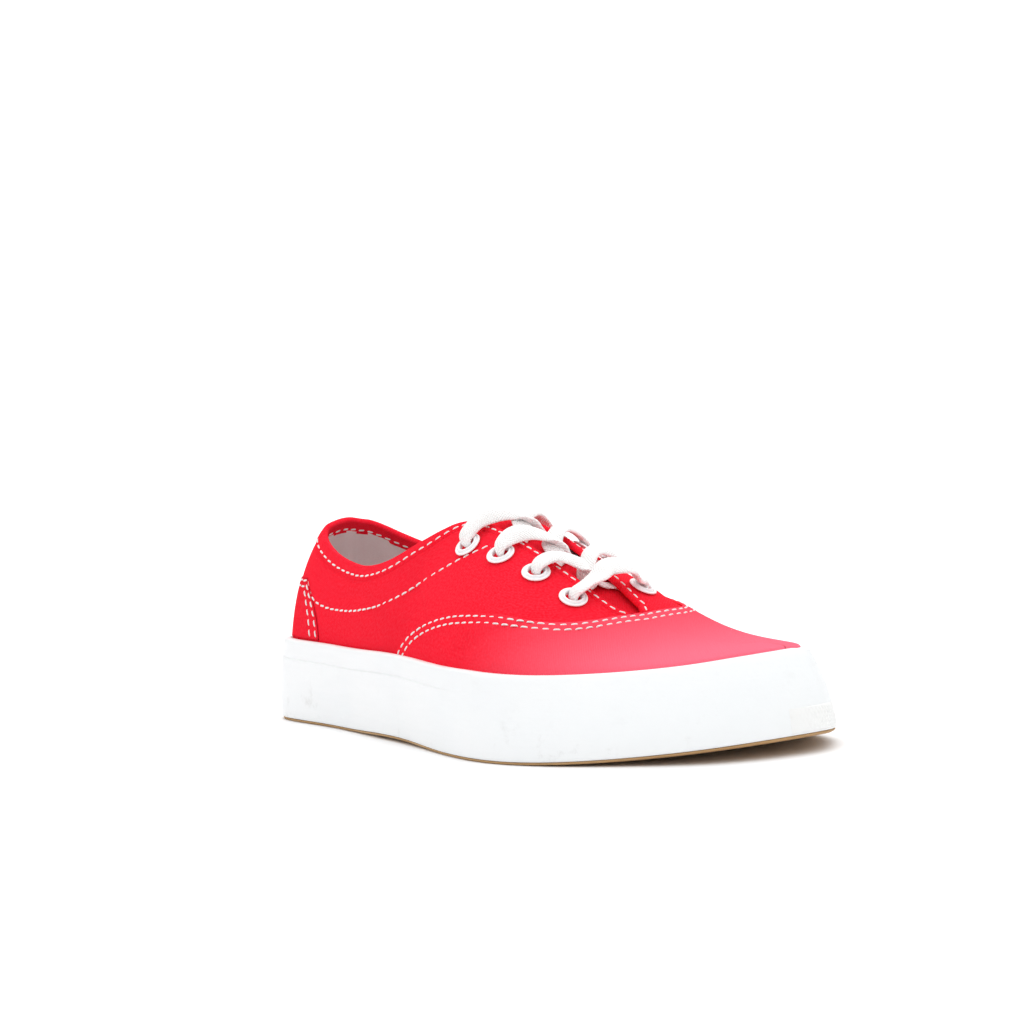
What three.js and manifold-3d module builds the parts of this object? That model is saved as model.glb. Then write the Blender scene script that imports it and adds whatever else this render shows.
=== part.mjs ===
// A low-top canvas sneaker, right foot, empty and standing on its sole. Millimetres, +Z up, toe towards +X,
// lateral (outer) side towards -Y. Every piece is worked out from one last: a closed outline round the sole,
// a leaning side wall, and curved sections that rise from the wall to a ridge line along the instep.
import * as THREE from 'three';
import { mergeVertices } from 'three/addons/utils/BufferGeometryUtils.js';
import Module from 'manifold-3d';

const wasm = await Module();
wasm.setup();

// ---------- driving dimensions ----------
const LENGTH = 235;
const BALL_WIDTH = 96;
const INSTEP_HEIGHT = 76;
const HEEL_HEIGHT = 66.5;

const GAP = 0.3;
const TOE_SPRING = 5.5;
const ARCH_LIFT = 0.9;
const SPRING_START = 0.68;
const ARCH_SPAN = [0.2, 0.55];

const OUTSOLE_THICK = 10;
const OUTSOLE_RIM = 0.9;
const OUTSOLE_RIM_INSET = 0.5;
const GROOVE_DEPTH = 1.2;
const GROOVE_WIDTH = 2.4;
const GROOVE_MARGIN = 8;
const GROOVES = [0.07, 0.11, 0.15, 0.19, 0.52, 0.56, 0.6, 0.64, 0.68, 0.72, 0.76, 0.8, 0.84, 0.88];

const FOXING_WALL = 3;
const FOXING_HEIGHTS = [27.4, 28.2, 26.5];
const LEAN_CURVE = 1.8;
const BUMPER = { from: 11.6, to: 13.6, low: 0.06, high: 0.35, thick: 0.8 };

const CANVAS = 1.8;
const COUNTER = { thick: 1, low: 0.012, top: 47.5, wideLow: 2.6, wideHigh: 2.0 };
const INSOLE = { thick: 3.2, inset: 6.3 };
const TONGUE = { from: 5.05, to: 8.3, half: 23, below: 3.1, thick: 2.2 };

const THROAT_END = 7.77;
const EYELET = { hole: 2.4, barrel: 3, flange: 4.7, lift: 0.5, high: 1.1, deep: 2.5, sides: 12 };
const HOLE_RADIUS = EYELET.barrel + GAP;
const LACE = { half: 3.4, thin: 1.05, sides: 8, steps: 10 };

// The sole's outline and side wall, one row for each station from the back of the heel to the tip of the
// toe. at: place along the sole, of LENGTH. lateral, medial: half widths of the sole, of BALL_WIDTH.
// lean: how far the side wall's top edge stands in from its foot, mm.
const SOLE = [
  { at: 0.000, lateral: 0.000, medial: 0.000, lean: 3.0 },
  { at: 0.015, lateral: 0.190, medial: 0.165, lean: 2.4 },
  { at: 0.070, lateral: 0.268, medial: 0.290, lean: 1.2 },
  { at: 0.180, lateral: 0.305, medial: 0.342, lean: 0.0 },
  { at: 0.300, lateral: 0.376, medial: 0.318, lean: -0.8 },
  { at: 0.420, lateral: 0.450, medial: 0.296, lean: -0.2 },
  { at: 0.540, lateral: 0.540, medial: 0.330, lean: 1.2 },
  { at: 0.650, lateral: 0.592, medial: 0.392, lean: 3.0 },
  { at: 0.750, lateral: 0.552, medial: 0.430, lean: 4.6 },
  { at: 0.840, lateral: 0.445, medial: 0.428, lean: 5.6 },
  { at: 0.920, lateral: 0.310, medial: 0.368, lean: 7.0 },
  { at: 0.975, lateral: 0.138, medial: 0.255, lean: 8.6 },
  { at: 1.000, lateral: -0.112, medial: 0.112, lean: 9.4 },
];

// The instep's ridge line, one row for each station of the sole. along: the ridge's place, of LENGTH.
// side: its offset to the medial side, mm. high: its height, of INSTEP_HEIGHT. swell: how upright the
// section leaves the side wall. flatOut, flatIn: how flat the section reaches the ridge, lateral and medial.
const RIDGE = [
  { along: 0.135, side: 0, high: 0.950, swell: 0.56, flatOut: 0.56, flatIn: 0.56 },
  { along: 0.140, side: 0, high: 0.945, swell: 0.56, flatOut: 0.56, flatIn: 0.56 },
  { along: 0.165, side: 0, high: 0.960, swell: 0.52, flatOut: 0.52, flatIn: 0.52 },
  { along: 0.220, side: 0, high: 0.955, swell: 0.42, flatOut: 0.46, flatIn: 0.46 },
  { along: 0.315, side: 0, high: 0.990, swell: 0.36, flatOut: 0.36, flatIn: 0.38 },
  { along: 0.420, side: -2, high: 0.980, swell: 0.32, flatOut: 0.28, flatIn: 0.40 },
  { along: 0.530, side: -4, high: 0.865, swell: 0.39, flatOut: 0.38, flatIn: 0.52 },
  { along: 0.640, side: -4, high: 0.690, swell: 0.40, flatOut: 0.42, flatIn: 0.66 },
  { along: 0.735, side: -1.5, high: 0.515, swell: 0.44, flatOut: 0.46, flatIn: 0.66 },
  { along: 0.810, side: 2.2, high: 0.444, swell: 0.47, flatOut: 0.48, flatIn: 0.54 },
  { along: 0.860, side: 6, high: 0.425, swell: 0.49, flatOut: 0.49, flatIn: 0.50 },
  { along: 0.888, side: 8, high: 0.425, swell: 0.50, flatOut: 0.50, flatIn: 0.50 },
  { along: 0.898, side: 9, high: 0.432, swell: 0.50, flatOut: 0.50, flatIn: 0.50 },
];

// The collar's edge: its height at places round the heel, counted in stations from the back of the heel.
const COLLAR = [
  { station: 0.0, high: HEEL_HEIGHT },
  { station: 1.6, high: 64.1 },
  { station: 2.9, high: 54.2 },
  { station: 3.7, high: 53.7 },
  { station: 4.3, high: 61.0 },
  { station: 4.8, high: 70.5 },
  { station: 5.3, high: 73.5 },
];

// The throat's edge: its distance from the ridge line, from the top of the eyestay to the throat's end.
const THROAT = [
  { station: 4.4, half: 11.0 },
  { station: 5.3, half: 8.8 },
  { station: 6.0, half: 7.5 },
  { station: 6.6, half: 6.2 },
  { station: 7.2, half: 4.9 },
  { station: 7.6, half: 3.5 },
  { station: THROAT_END, half: 0 },
];

// The eyelets, from the top row down: station, and distance from the ridge line.
const EYELETS = [
  { station: 5.34, out: 17.6 },
  { station: 5.96, out: 17.0 },
  { station: 6.57, out: 15.7 },
  { station: 7.2, out: 14.3 },
];

// ---------- the last ----------
const HALF = SOLE.length - 1;
const ROUND = 2 * HALF;

// Values of a table round the shoe: its lateral stations heel to toe, then the medial ones back to the heel.
function ring(table, lateral, medial = lateral) {
  const back = table.slice(1, -1).reverse();
  return [...table.map(lateral), ...back.map(medial)];
}

// A closed cubic spline through one value for each station, with even curvature at the stations.
function spline(values) {
  const count = values.length;
  const bend = new Array(count).fill(0);
  for (let pass = 0; pass < 60; pass += 1) {
    for (let i = 0; i < count; i += 1) {
      const before = (i + count - 1) % count;
      const after = (i + 1) % count;
      const turn = values[before] - 2 * values[i] + values[after];
      bend[i] = (6 * turn - bend[before] - bend[after]) / 4;
    }
  }
  return (station) => {
    const place = ((station % count) + count) % count;
    const i = Math.floor(place);
    const j = (i + 1) % count;
    const t = place - i;
    const s = 1 - t;
    return s * values[i] + t * values[j] + ((s ** 3 - s) * bend[i] + (t ** 3 - t) * bend[j]) / 6;
  };
}

const soleX = spline(ring(SOLE, (row) => row.at * LENGTH));
const soleY = spline(ring(SOLE, (row) => -row.lateral * BALL_WIDTH, (row) => row.medial * BALL_WIDTH));
const lean = spline(ring(SOLE, (row) => row.lean));
const ridgeX = spline(ring(RIDGE, (row) => row.along * LENGTH));
const ridgeY = spline(ring(RIDGE, (row) => row.side));
const ridgeZ = spline(ring(RIDGE, (row) => row.high * INSTEP_HEIGHT));
const swell = spline(ring(RIDGE, (row) => row.swell));
const flat = spline(ring(RIDGE, (row) => row.flatOut, (row) => row.flatIn));

const clamp = THREE.MathUtils.clamp;

// Straight-line reading of a table of [place, value] pairs.
function lookUp(pairs, place) {
  const last = pairs.length - 1;
  if (place <= pairs[0][0]) return pairs[0][1];
  for (let i = 0; i < last; i += 1) {
    const [from, start] = pairs[i];
    const [to, end] = pairs[i + 1];
    if (place <= to) return THREE.MathUtils.mapLinear(place, from, to, start, end);
  }
  return pairs[last][1];
}

// Height of the sole's underside over the floor: flat at heel and forefoot, lifted at arch and toe.
function underside(x) {
  const along = x / LENGTH;
  const toe = clamp((along - SPRING_START) / (1 - SPRING_START), 0, 1);
  const arch = clamp((along - ARCH_SPAN[0]) / (ARCH_SPAN[1] - ARCH_SPAN[0]), 0, 1);
  return TOE_SPRING * toe ** 2 + ARCH_LIFT * Math.sin(Math.PI * arch) ** 2;
}

function foxingHeight(station) {
  const [heel, ball, toe] = FOXING_HEIGHTS;
  return lookUp([[0, heel], [0.6, ball], [1, toe]], soleX(station) / LENGTH);
}

// Unit vector out of the outline, in plan.
function outward(station) {
  const step = 1e-3;
  const along = new THREE.Vector2(
    soleX(station + step) - soleX(station - step),
    soleY(station + step) - soleY(station - step),
  ).normalize();
  return new THREE.Vector2(along.y, -along.x);
}

// A point of the side wall: height over the underside, and depth inwards from its outer face.
function wallPoint(station, height, depth) {
  const part = Math.max(height / foxingHeight(station), 0);
  const inset = lean(station) * part ** LEAN_CURVE + depth;
  const out = outward(station);
  const x = soleX(station);
  return new THREE.Vector3(x - out.x * inset, soleY(station) - out.y * inset, underside(x) + height);
}

// A point of the upper's outer face above the side wall: rise runs from 0, at the foxing's top edge, to 1,
// at the ridge. The section is a cubic Bezier curve in the plane from the wall to the ridge.
function skinPoint(station, rise) {
  const foot = wallPoint(station, foxingHeight(station), FOXING_WALL + GAP);
  const ridge = new THREE.Vector3(ridgeX(station), ridgeY(station), ridgeZ(station));
  const out = outward(station);
  const climb = (ridge.z - foot.z) * swell(station);
  const slope = (LEAN_CURVE * lean(station)) / foxingHeight(station);
  const leave = new THREE.Vector3(-out.x * slope, -out.y * slope, 1).multiplyScalar(climb).add(foot);
  const arrive = ridge.clone().lerp(foot, flat(station)).setZ(ridge.z);
  return new THREE.CubicBezierCurve3(foot, leave, arrive, ridge).getPoint(rise);
}

// The rise at which the section passes a test, by halving.
function riseWhere(station, isBelow) {
  let low = 0;
  let high = 1;
  for (let pass = 0; pass < 24; pass += 1) {
    const middle = (low + high) / 2;
    if (isBelow(skinPoint(station, middle))) low = middle;
    else high = middle;
  }
  return (low + high) / 2;
}

function riseAtHeight(station, height) {
  return riseWhere(station, (point) => point.z < height);
}

function riseAtRidgeDistance(station, distance) {
  const x = ridgeX(station);
  const y = ridgeY(station);
  return riseWhere(station, (point) => Math.hypot(point.x - x, point.y - y) > distance);
}

// The same place counted from the heel on either side: side is -1 lateral, 1 medial.
function onSide(station, side) {
  return side < 0 ? station : ROUND - station;
}

function fromHeel(station) {
  return Math.min(station, ROUND - station);
}

const collarTable = COLLAR.map((row) => [row.station, row.high]);
const throatTable = THROAT.map((row) => [row.station, row.half]);
const COLLAR_SMOOTH = 0.35;
const CORNER_SOFT = 0.06;

// The collar's height, averaged over a short stretch so that its edge turns softly.
function collarHeight(station) {
  const offsets = [-1, -0.5, 0, 0.5, 1];
  const heights = offsets.map((offset) => lookUp(collarTable, Math.abs(station + offset * COLLAR_SMOOTH)));
  return heights.reduce((sum, height) => sum + height, 0) / offsets.length;
}

// The rise of the upper's open edge: the collar, the throat, or the ridge in front of the throat.
function edgeRise(station) {
  const place = fromHeel(station);
  if (place >= THROAT_END) return 1;
  const collar = riseAtHeight(station, collarHeight(place));
  if (place < THROAT[0].station) return collar;
  const throat = riseAtRidgeDistance(station, lookUp(throatTable, place));
  return (collar + throat - Math.hypot(collar - throat, CORNER_SOFT)) / 2;
}

// Where the skin faces: its unit normal, by small steps.
function skinNormal(station, rise) {
  const step = 0.01;
  const along = skinPoint(station + step, rise).sub(skinPoint(station - step, rise));
  const up = skinPoint(station, Math.min(rise + step, 1)).sub(skinPoint(station, rise - step));
  return along.cross(up).normalize();
}

// ---------- solids from sheets ----------
// A sheet is { points, faces } with its faces anticlockwise seen from outside.
function gridSheet(columns, rows, pointAt) {
  const points = [];
  const faces = [];
  for (let i = 0; i <= columns; i += 1) {
    for (let j = 0; j <= rows; j += 1) points.push(pointAt(i / columns, j / rows));
  }
  for (let i = 0; i < columns; i += 1) {
    for (let j = 0; j < rows; j += 1) {
      const a = i * (rows + 1) + j;
      const b = a + rows + 1;
      faces.push([a, b, b + 1], [a, b + 1, a + 1]);
    }
  }
  return { points, faces };
}

function sheetNormals({ points, faces }) {
  const normals = points.map(() => new THREE.Vector3());
  for (const [a, b, c] of faces) {
    const one = points[b].clone().sub(points[a]);
    const two = points[c].clone().sub(points[a]);
    const normal = one.cross(two);
    for (const corner of [a, b, c]) normals[corner].add(normal);
  }
  return normals.map((normal) => normal.normalize());
}

function openEdges(faces) {
  const edges = new Map();
  for (const [a, b, c] of faces) {
    for (const [from, to] of [[a, b], [b, c], [c, a]]) edges.set(`${from} ${to}`, [from, to]);
  }
  return [...edges.values()].filter(([from, to]) => !edges.has(`${to} ${from}`));
}

function solidGeometry(points, faces) {
  const geometry = new THREE.BufferGeometry();
  const position = points.flatMap((point) => [point.x, point.y, point.z]);
  geometry.setAttribute('position', new THREE.Float32BufferAttribute(position, 3));
  geometry.setIndex(faces.flat());
  return geometry;
}

// A closed wall between two offsets of a sheet, along its normals.
function thicken(sheet, inner, outer) {
  const normals = sheetNormals(sheet);
  const count = sheet.points.length;
  const moved = (offset) => sheet.points.map((point, i) => point.clone().addScaledVector(normals[i], offset));
  const points = [...moved(outer), ...moved(inner)];
  const faces = [...sheet.faces, ...sheet.faces.map(([a, b, c]) => [a + count, c + count, b + count])];
  for (const [from, to] of openEdges(sheet.faces)) {
    faces.push([to, from, from + count], [to, from + count, to + count]);
  }
  return solidGeometry(points, faces);
}

// A closed band round the shoe: section(station) lists the loop of its cross-section, outer face upwards.
function bandRound(columns, section) {
  const points = [];
  const faces = [];
  const size = section(0).length;
  for (let i = 0; i < columns; i += 1) points.push(...section((i * ROUND) / columns));
  for (let i = 0; i < columns; i += 1) {
    const here = i * size;
    const next = ((i + 1) % columns) * size;
    for (let j = 0; j < size; j += 1) {
      const k = (j + 1) % size;
      faces.push([here + j, next + j, next + k], [here + j, next + k, here + k]);
    }
  }
  return solidGeometry(points, faces);
}

// A plate: rings of points stacked upwards, closed below and above by rungs from side to side.
function plate(columns, levels) {
  const points = levels.flatMap((level) => {
    const stations = Array.from({ length: columns }, (_, i) => (i * ROUND) / columns);
    return stations.map(level);
  });
  const faces = [];
  const top = (levels.length - 1) * columns;
  for (let row = 0; row < levels.length - 1; row += 1) {
    for (let i = 0; i < columns; i += 1) {
      const a = row * columns + i;
      const b = row * columns + ((i + 1) % columns);
      faces.push([a, b, b + columns], [a, b + columns, a + columns]);
    }
  }
  for (let i = 0; i < columns / 2; i += 1) {
    const mirror = (columns - i) % columns;
    const before = mirror === 0 ? columns - 1 : mirror - 1;
    const rung = [[i, before, i + 1]];
    if (mirror !== i) rung.push([i, mirror, before]);
    for (const [a, b, c] of rung) {
      if (a === b || b === c || a === c) continue;
      faces.push([a, b, c], [top + a, top + c, top + b]);
    }
  }
  return solidGeometry(points, faces);
}

// ---------- joining and cutting ----------
function toManifold(geometry) {
  const bare = geometry.clone();
  bare.deleteAttribute('normal');
  bare.deleteAttribute('uv');
  const merged = mergeVertices(bare, 1e-5);
  const vertProperties = new Float32Array(merged.getAttribute('position').array);
  const triVerts = new Uint32Array(merged.getIndex().array);
  return new wasm.Manifold(new wasm.Mesh({ numProp: 3, vertProperties, triVerts }));
}

function toGeometry(manifold) {
  const mesh = manifold.getMesh();
  const geometry = new THREE.BufferGeometry();
  geometry.setAttribute('position', new THREE.BufferAttribute(new Float32Array(mesh.vertProperties), 3));
  geometry.setIndex(new THREE.BufferAttribute(new Uint32Array(mesh.triVerts), 1));
  return geometry;
}

// ---------- pieces ----------
const COLUMNS = 92;

function outsoleGeometry() {
  const bodyInset = FOXING_WALL + GAP;
  const body = plate(COLUMNS, [
    (station) => wallPoint(station, 0, OUTSOLE_RIM_INSET + 0.4),
    (station) => wallPoint(station, 0.4, OUTSOLE_RIM_INSET),
    (station) => wallPoint(station, OUTSOLE_RIM, OUTSOLE_RIM_INSET),
    (station) => wallPoint(station, OUTSOLE_RIM + 0.01, bodyInset),
    (station) => wallPoint(station, OUTSOLE_THICK, bodyInset),
  ]);
  const grooves = GROOVES.map((along) => toManifold(grooveGeometry(along * LENGTH)));
  return toGeometry(grooves.reduce((solid, groove) => solid.subtract(groove), toManifold(body)));
}

// Where the outline crosses a line across the shoe, on one side.
function sideStation(x, side) {
  let low = 0;
  let high = HALF;
  for (let pass = 0; pass < 30; pass += 1) {
    const middle = (low + high) / 2;
    if (soleX(onSide(middle, side)) < x) low = middle;
    else high = middle;
  }
  return onSide((low + high) / 2, side);
}

// A straight groove across the underside, which leaves a rim of rubber on both sides.
function grooveGeometry(x) {
  const low = soleY(sideStation(x, -1)) + GROOVE_MARGIN;
  const high = soleY(sideStation(x, 1)) - GROOVE_MARGIN;
  const tall = 2 * GROOVE_DEPTH;
  const box = new THREE.BoxGeometry(GROOVE_WIDTH, high - low, tall);
  return box.translate(x, (low + high) / 2, underside(x));
}

function foxingGeometry() {
  const foot = OUTSOLE_RIM + GAP;
  const parts = [0, 0.4, 0.75, 1];
  return bandRound(COLUMNS, (station) => {
    const heights = parts.map((part) => foot + (foxingHeight(station) - foot) * part);
    const outer = heights.map((height) => wallPoint(station, height, 0));
    const inner = heights.map((height) => wallPoint(station, height, FOXING_WALL));
    return [...outer, ...inner.reverse()];
  });
}

function toeBumperGeometry() {
  const sheet = gridSheet(18, 3, (across, up) => {
    const station = BUMPER.from + (BUMPER.to - BUMPER.from) * across;
    const part = BUMPER.low + (BUMPER.high - BUMPER.low) * up;
    return wallPoint(station, foxingHeight(station) * part, 0);
  });
  return thicken(sheet, GAP, GAP + BUMPER.thick);
}

// The upper's outer face: two buried rows inside the foxing, then rows up to the open edge. In front of
// the throat both sides share the points of the ridge.
function upperSheet() {
  const buried = 2;
  const visible = 7;
  const rows = buried + visible;
  const points = [];
  const index = [];
  for (let i = 0; i < COLUMNS; i += 1) {
    const station = (i * ROUND) / COLUMNS;
    const closed = fromHeel(station) >= THROAT_END;
    const top = edgeRise(station);
    index.push([]);
    for (let j = 0; j <= rows; j += 1) {
      const shared = closed && j === rows && station > HALF;
      if (shared) {
        index[i].push(index[COLUMNS - i][rows]);
        continue;
      }
      index[i].push(points.length);
      const rise = (top * (j - buried)) / visible;
      points.push(j < buried ? buriedPoint(station, j / buried) : skinPoint(station, rise));
    }
  }
  const faces = [];
  for (let i = 0; i < COLUMNS; i += 1) {
    const next = (i + 1) % COLUMNS;
    for (let j = 0; j < rows; j += 1) {
      const [a, b, c, d] = [index[i][j], index[next][j], index[next][j + 1], index[i][j + 1]];
      if (b !== c && a !== b) faces.push([a, b, c]);
      if (c !== d && a !== d && a !== c) faces.push([a, c, d]);
    }
  }
  return { points, faces };
}

// The stretch of canvas between the outsole and the foxing's top edge.
function buriedPoint(station, part) {
  const foot = OUTSOLE_THICK + 2 * GAP;
  return wallPoint(station, foot + (foxingHeight(station) - foot) * part, FOXING_WALL + GAP);
}

function eyeletPlaces() {
  return EYELETS.flatMap((row, i) => [-1, 1].map((side) => {
    const station = onSide(row.station, side);
    const rise = riseAtRidgeDistance(station, row.out);
    const point = skinPoint(station, rise);
    const normal = skinNormal(station, rise);
    const turn = new THREE.Quaternion().setFromUnitVectors(new THREE.Vector3(0, 1, 0), normal);
    return { row: i, side, point, turn };
  }));
}

function upperGeometry() {
  const shell = toManifold(thicken(upperSheet(), -CANVAS, 0));
  const holes = eyeletPlaces().map(({ point, turn }) => {
    const punch = new THREE.CylinderGeometry(HOLE_RADIUS, HOLE_RADIUS, 4 * CANVAS, 16);
    return toManifold(punch.applyQuaternion(turn).translate(point.x, point.y, point.z));
  });
  return toGeometry(holes.reduce((solid, hole) => solid.subtract(hole), shell));
}

// The heel counter: a patch round the back, cut from the upper's own face, narrower towards its top edge.
function heelCounterGeometry() {
  const sheet = gridSheet(20, 5, (across, up) => {
    const half = COUNTER.wideLow + (COUNTER.wideHigh - COUNTER.wideLow) * up ** 2;
    const station = half * (2 * across - 1);
    const top = riseAtHeight(station, COUNTER.top);
    return skinPoint(station, COUNTER.low + (top - COUNTER.low) * up);
  });
  return thicken(sheet, GAP, GAP + COUNTER.thick);
}

// The tongue follows the skin's sections under the throat, from beneath the vamp to above the top eyelets.
function tongueGeometry() {
  const sheet = gridSheet(14, 10, (along, across) => {
    const place = TONGUE.from + (TONGUE.to - TONGUE.from) * along;
    const side = across < 0.5 ? -1 : 1;
    const station = onSide(place, side);
    const distance = TONGUE.half * Math.abs(2 * across - 1);
    return skinPoint(station, riseAtRidgeDistance(station, Math.max(distance, 0.001)));
  });
  return thicken(sheet, -TONGUE.below - TONGUE.thick, -TONGUE.below);
}

function insoleGeometry() {
  const foot = OUTSOLE_THICK + GAP;
  return plate(COLUMNS / 2, [
    (station) => wallPoint(station, foot, INSOLE.inset),
    (station) => wallPoint(station, foot + INSOLE.thick, INSOLE.inset),
  ]);
}

function eyeletGeometry() {
  const { hole, barrel, flange, lift, high, deep, sides } = EYELET;
  const profile = [
    [hole, -deep],
    [hole, lift + 0.4 * high],
    [hole + 0.4, lift + high],
    [flange - 0.9, lift + high],
    [flange, lift + 0.3 * high],
    [flange, lift],
    [barrel, lift],
    [barrel, -deep],
    [hole, -deep],
  ];
  return new THREE.LatheGeometry(profile.map(([r, y]) => new THREE.Vector2(r, y)).reverse(), sides);
}

// ---------- the lace ----------
// A point over the skin: side and distance from the ridge, raised along the normal.
function overSkin(place, side, distance, lift) {
  const station = onSide(place, side);
  const rise = riseAtRidgeDistance(station, distance);
  const normal = skinNormal(station, Math.min(rise, 0.985));
  return { point: skinPoint(station, rise).addScaledVector(normal, lift), normal };
}

// A flat oval strand through stops, each a point and the way its flat face looks.
function strand(stops) {
  const path = new THREE.CatmullRomCurve3(stops.map((stop) => stop.point));
  const facing = new THREE.CatmullRomCurve3(stops.map((stop) => stop.normal));
  const points = [];
  const faces = [];
  const { half, thin, sides, steps } = LACE;
  for (let i = 0; i <= steps; i += 1) {
    const t = i / steps;
    const along = path.getTangent(t);
    const across = along.clone().cross(facing.getPoint(t)).normalize();
    const up = across.clone().cross(along).normalize();
    for (let k = 0; k < sides; k += 1) {
      const angle = (2 * Math.PI * k) / sides;
      const point = path.getPoint(t).addScaledVector(across, half * Math.cos(angle));
      points.push(point.addScaledVector(up, thin * Math.sin(angle)));
    }
  }
  for (let i = 0; i < steps; i += 1) {
    for (let k = 0; k < sides; k += 1) {
      const a = i * sides + k;
      const b = i * sides + ((k + 1) % sides);
      faces.push([a, b + sides, b], [a, a + sides, b + sides]);
    }
  }
  for (let k = 1; k < sides - 1; k += 1) {
    const end = steps * sides;
    faces.push([0, k, k + 1], [end, end + k + 1, end + k]);
  }
  return solidGeometry(points, faces);
}

const OVER_EYELET = EYELET.lift + EYELET.high + LACE.thin + 1.1;

function laceBarGeometry() {
  const { station, out } = EYELETS[EYELETS.length - 1];
  const half = lookUp(throatTable, station);
  const stops = [
    overSkin(station, -1, out, OVER_EYELET),
    overSkin(station, -1, half, 3.6),
    overSkin(station, -1, 0.5, 5.6),
    overSkin(station, 1, half, 4.8),
    overSkin(station, 1, out, OVER_EYELET),
  ];
  return strand(stops);
}

// One crossing: from each side's gap at the lower row, over the other side's edge to the upper row.
function laceCrossGeometry(upper) {
  const top = EYELETS[upper].station;
  const low = EYELETS[upper + 1].station;
  const start = low - 0.16 * (low - top);
  const room = lookUp(throatTable, start) - LACE.half - 1.2;
  const strands = [-1, 1].map((side) => strand([
    overSkin(start, side, room, -0.8),
    overSkin((start + top) / 2 + 0.05, -side, 0.5, 3.2),
    overSkin(top + 0.06, -side, lookUp(throatTable, top), 3.2),
    overSkin(top, -side, EYELETS[upper].out, OVER_EYELET),
  ]));
  return toGeometry(toManifold(strands[0]).add(toManifold(strands[1])));
}

// ---------- materials and assembly ----------
function material(color, roughness, metalness = 0) {
  return new THREE.MeshStandardMaterial({ color, roughness, metalness });
}

const redCanvas = () => material(0xe0202f, 0.9);
const whiteRubber = () => material(0xf2f3f1, 0.55);
const gumRubber = () => material(0xb98a5a, 0.7);
const liningCloth = () => material(0xcbb9b4, 0.95);
const whiteMetal = () => material(0xf0f0ee, 0.35, 0.4);
const whiteCotton = () => material(0xf6f5f2, 0.9);

function named(name, geometry, look) {
  const flatShaded = geometry.index ? geometry.toNonIndexed() : geometry;
  flatShaded.computeVertexNormals();
  const mesh = new THREE.Mesh(flatShaded, look);
  mesh.name = name;
  return mesh;
}

function eyeletMeshes() {
  return eyeletPlaces().map(({ row, side, point, turn }) => {
    const where = side < 0 ? 'outer' : 'inner';
    const mesh = named(`eyelet_${where}_${row + 1}`, eyeletGeometry(), whiteMetal());
    mesh.position.copy(point);
    mesh.quaternion.copy(turn);
    return mesh;
  });
}

const shoe = new THREE.Group();
shoe.add(
  named('outsole', outsoleGeometry(), gumRubber()),
  named('foxing', foxingGeometry(), whiteRubber()),
  named('toe_bumper', toeBumperGeometry(), whiteRubber()),
  named('upper', upperGeometry(), redCanvas()),
  named('heel_counter', heelCounterGeometry(), redCanvas()),
  named('tongue', tongueGeometry(), redCanvas()),
  named('insole', insoleGeometry(), liningCloth()),
  ...eyeletMeshes(),
  named('lace_bar', laceBarGeometry(), whiteCotton()),
  ...[0, 1, 2].map((upper) => named(`lace_cross_${upper + 1}`, laceCrossGeometry(upper), whiteCotton())),
);

// The origin is on the floor, under the middle of the shoe.
const extent = new THREE.Box3().setFromObject(shoe);
const middle = extent.getCenter(new THREE.Vector3());
shoe.position.set(-middle.x, -middle.y, -extent.min.z);

const sneaker = new THREE.Group();
sneaker.add(shoe);
export default sneaker;
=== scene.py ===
"""The looks of a low-top canvas sneaker, right foot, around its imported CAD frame.

Everything is worked out in millimetres on the same last as the CAD solids: a closed outline round the sole,
a leaning side wall, and curved sections that rise from the wall to a ridge line along the instep. A place on
the last is a station, counted round the shoe from the back of the heel by the lateral side, and a rise, from
0 at the foxing's top edge to 1 at the ridge. Meshes are made in metres, in the CAD's frame.
"""

import bmesh
import bpy
import numpy as np
from mathutils import Matrix, Vector

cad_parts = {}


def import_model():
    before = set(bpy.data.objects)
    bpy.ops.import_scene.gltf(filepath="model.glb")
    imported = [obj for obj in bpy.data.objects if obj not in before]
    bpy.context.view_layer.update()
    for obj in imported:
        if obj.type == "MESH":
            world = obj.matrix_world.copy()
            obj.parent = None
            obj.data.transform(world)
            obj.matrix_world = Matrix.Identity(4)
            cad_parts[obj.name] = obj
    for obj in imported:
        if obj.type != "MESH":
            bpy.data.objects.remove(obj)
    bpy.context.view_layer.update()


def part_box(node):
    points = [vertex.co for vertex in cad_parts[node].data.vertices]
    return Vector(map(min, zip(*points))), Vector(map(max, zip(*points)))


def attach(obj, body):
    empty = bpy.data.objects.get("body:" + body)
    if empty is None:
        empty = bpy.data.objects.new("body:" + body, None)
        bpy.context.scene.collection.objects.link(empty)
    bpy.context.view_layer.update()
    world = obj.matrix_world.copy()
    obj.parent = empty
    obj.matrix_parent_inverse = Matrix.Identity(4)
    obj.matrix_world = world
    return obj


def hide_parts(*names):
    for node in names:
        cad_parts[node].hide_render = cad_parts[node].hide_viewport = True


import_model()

MM = 0.001


def table(names, *rows):
    """A table with named columns, one row for each place."""
    return dict(zip(names.split(), np.array(rows, float).T))


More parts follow.
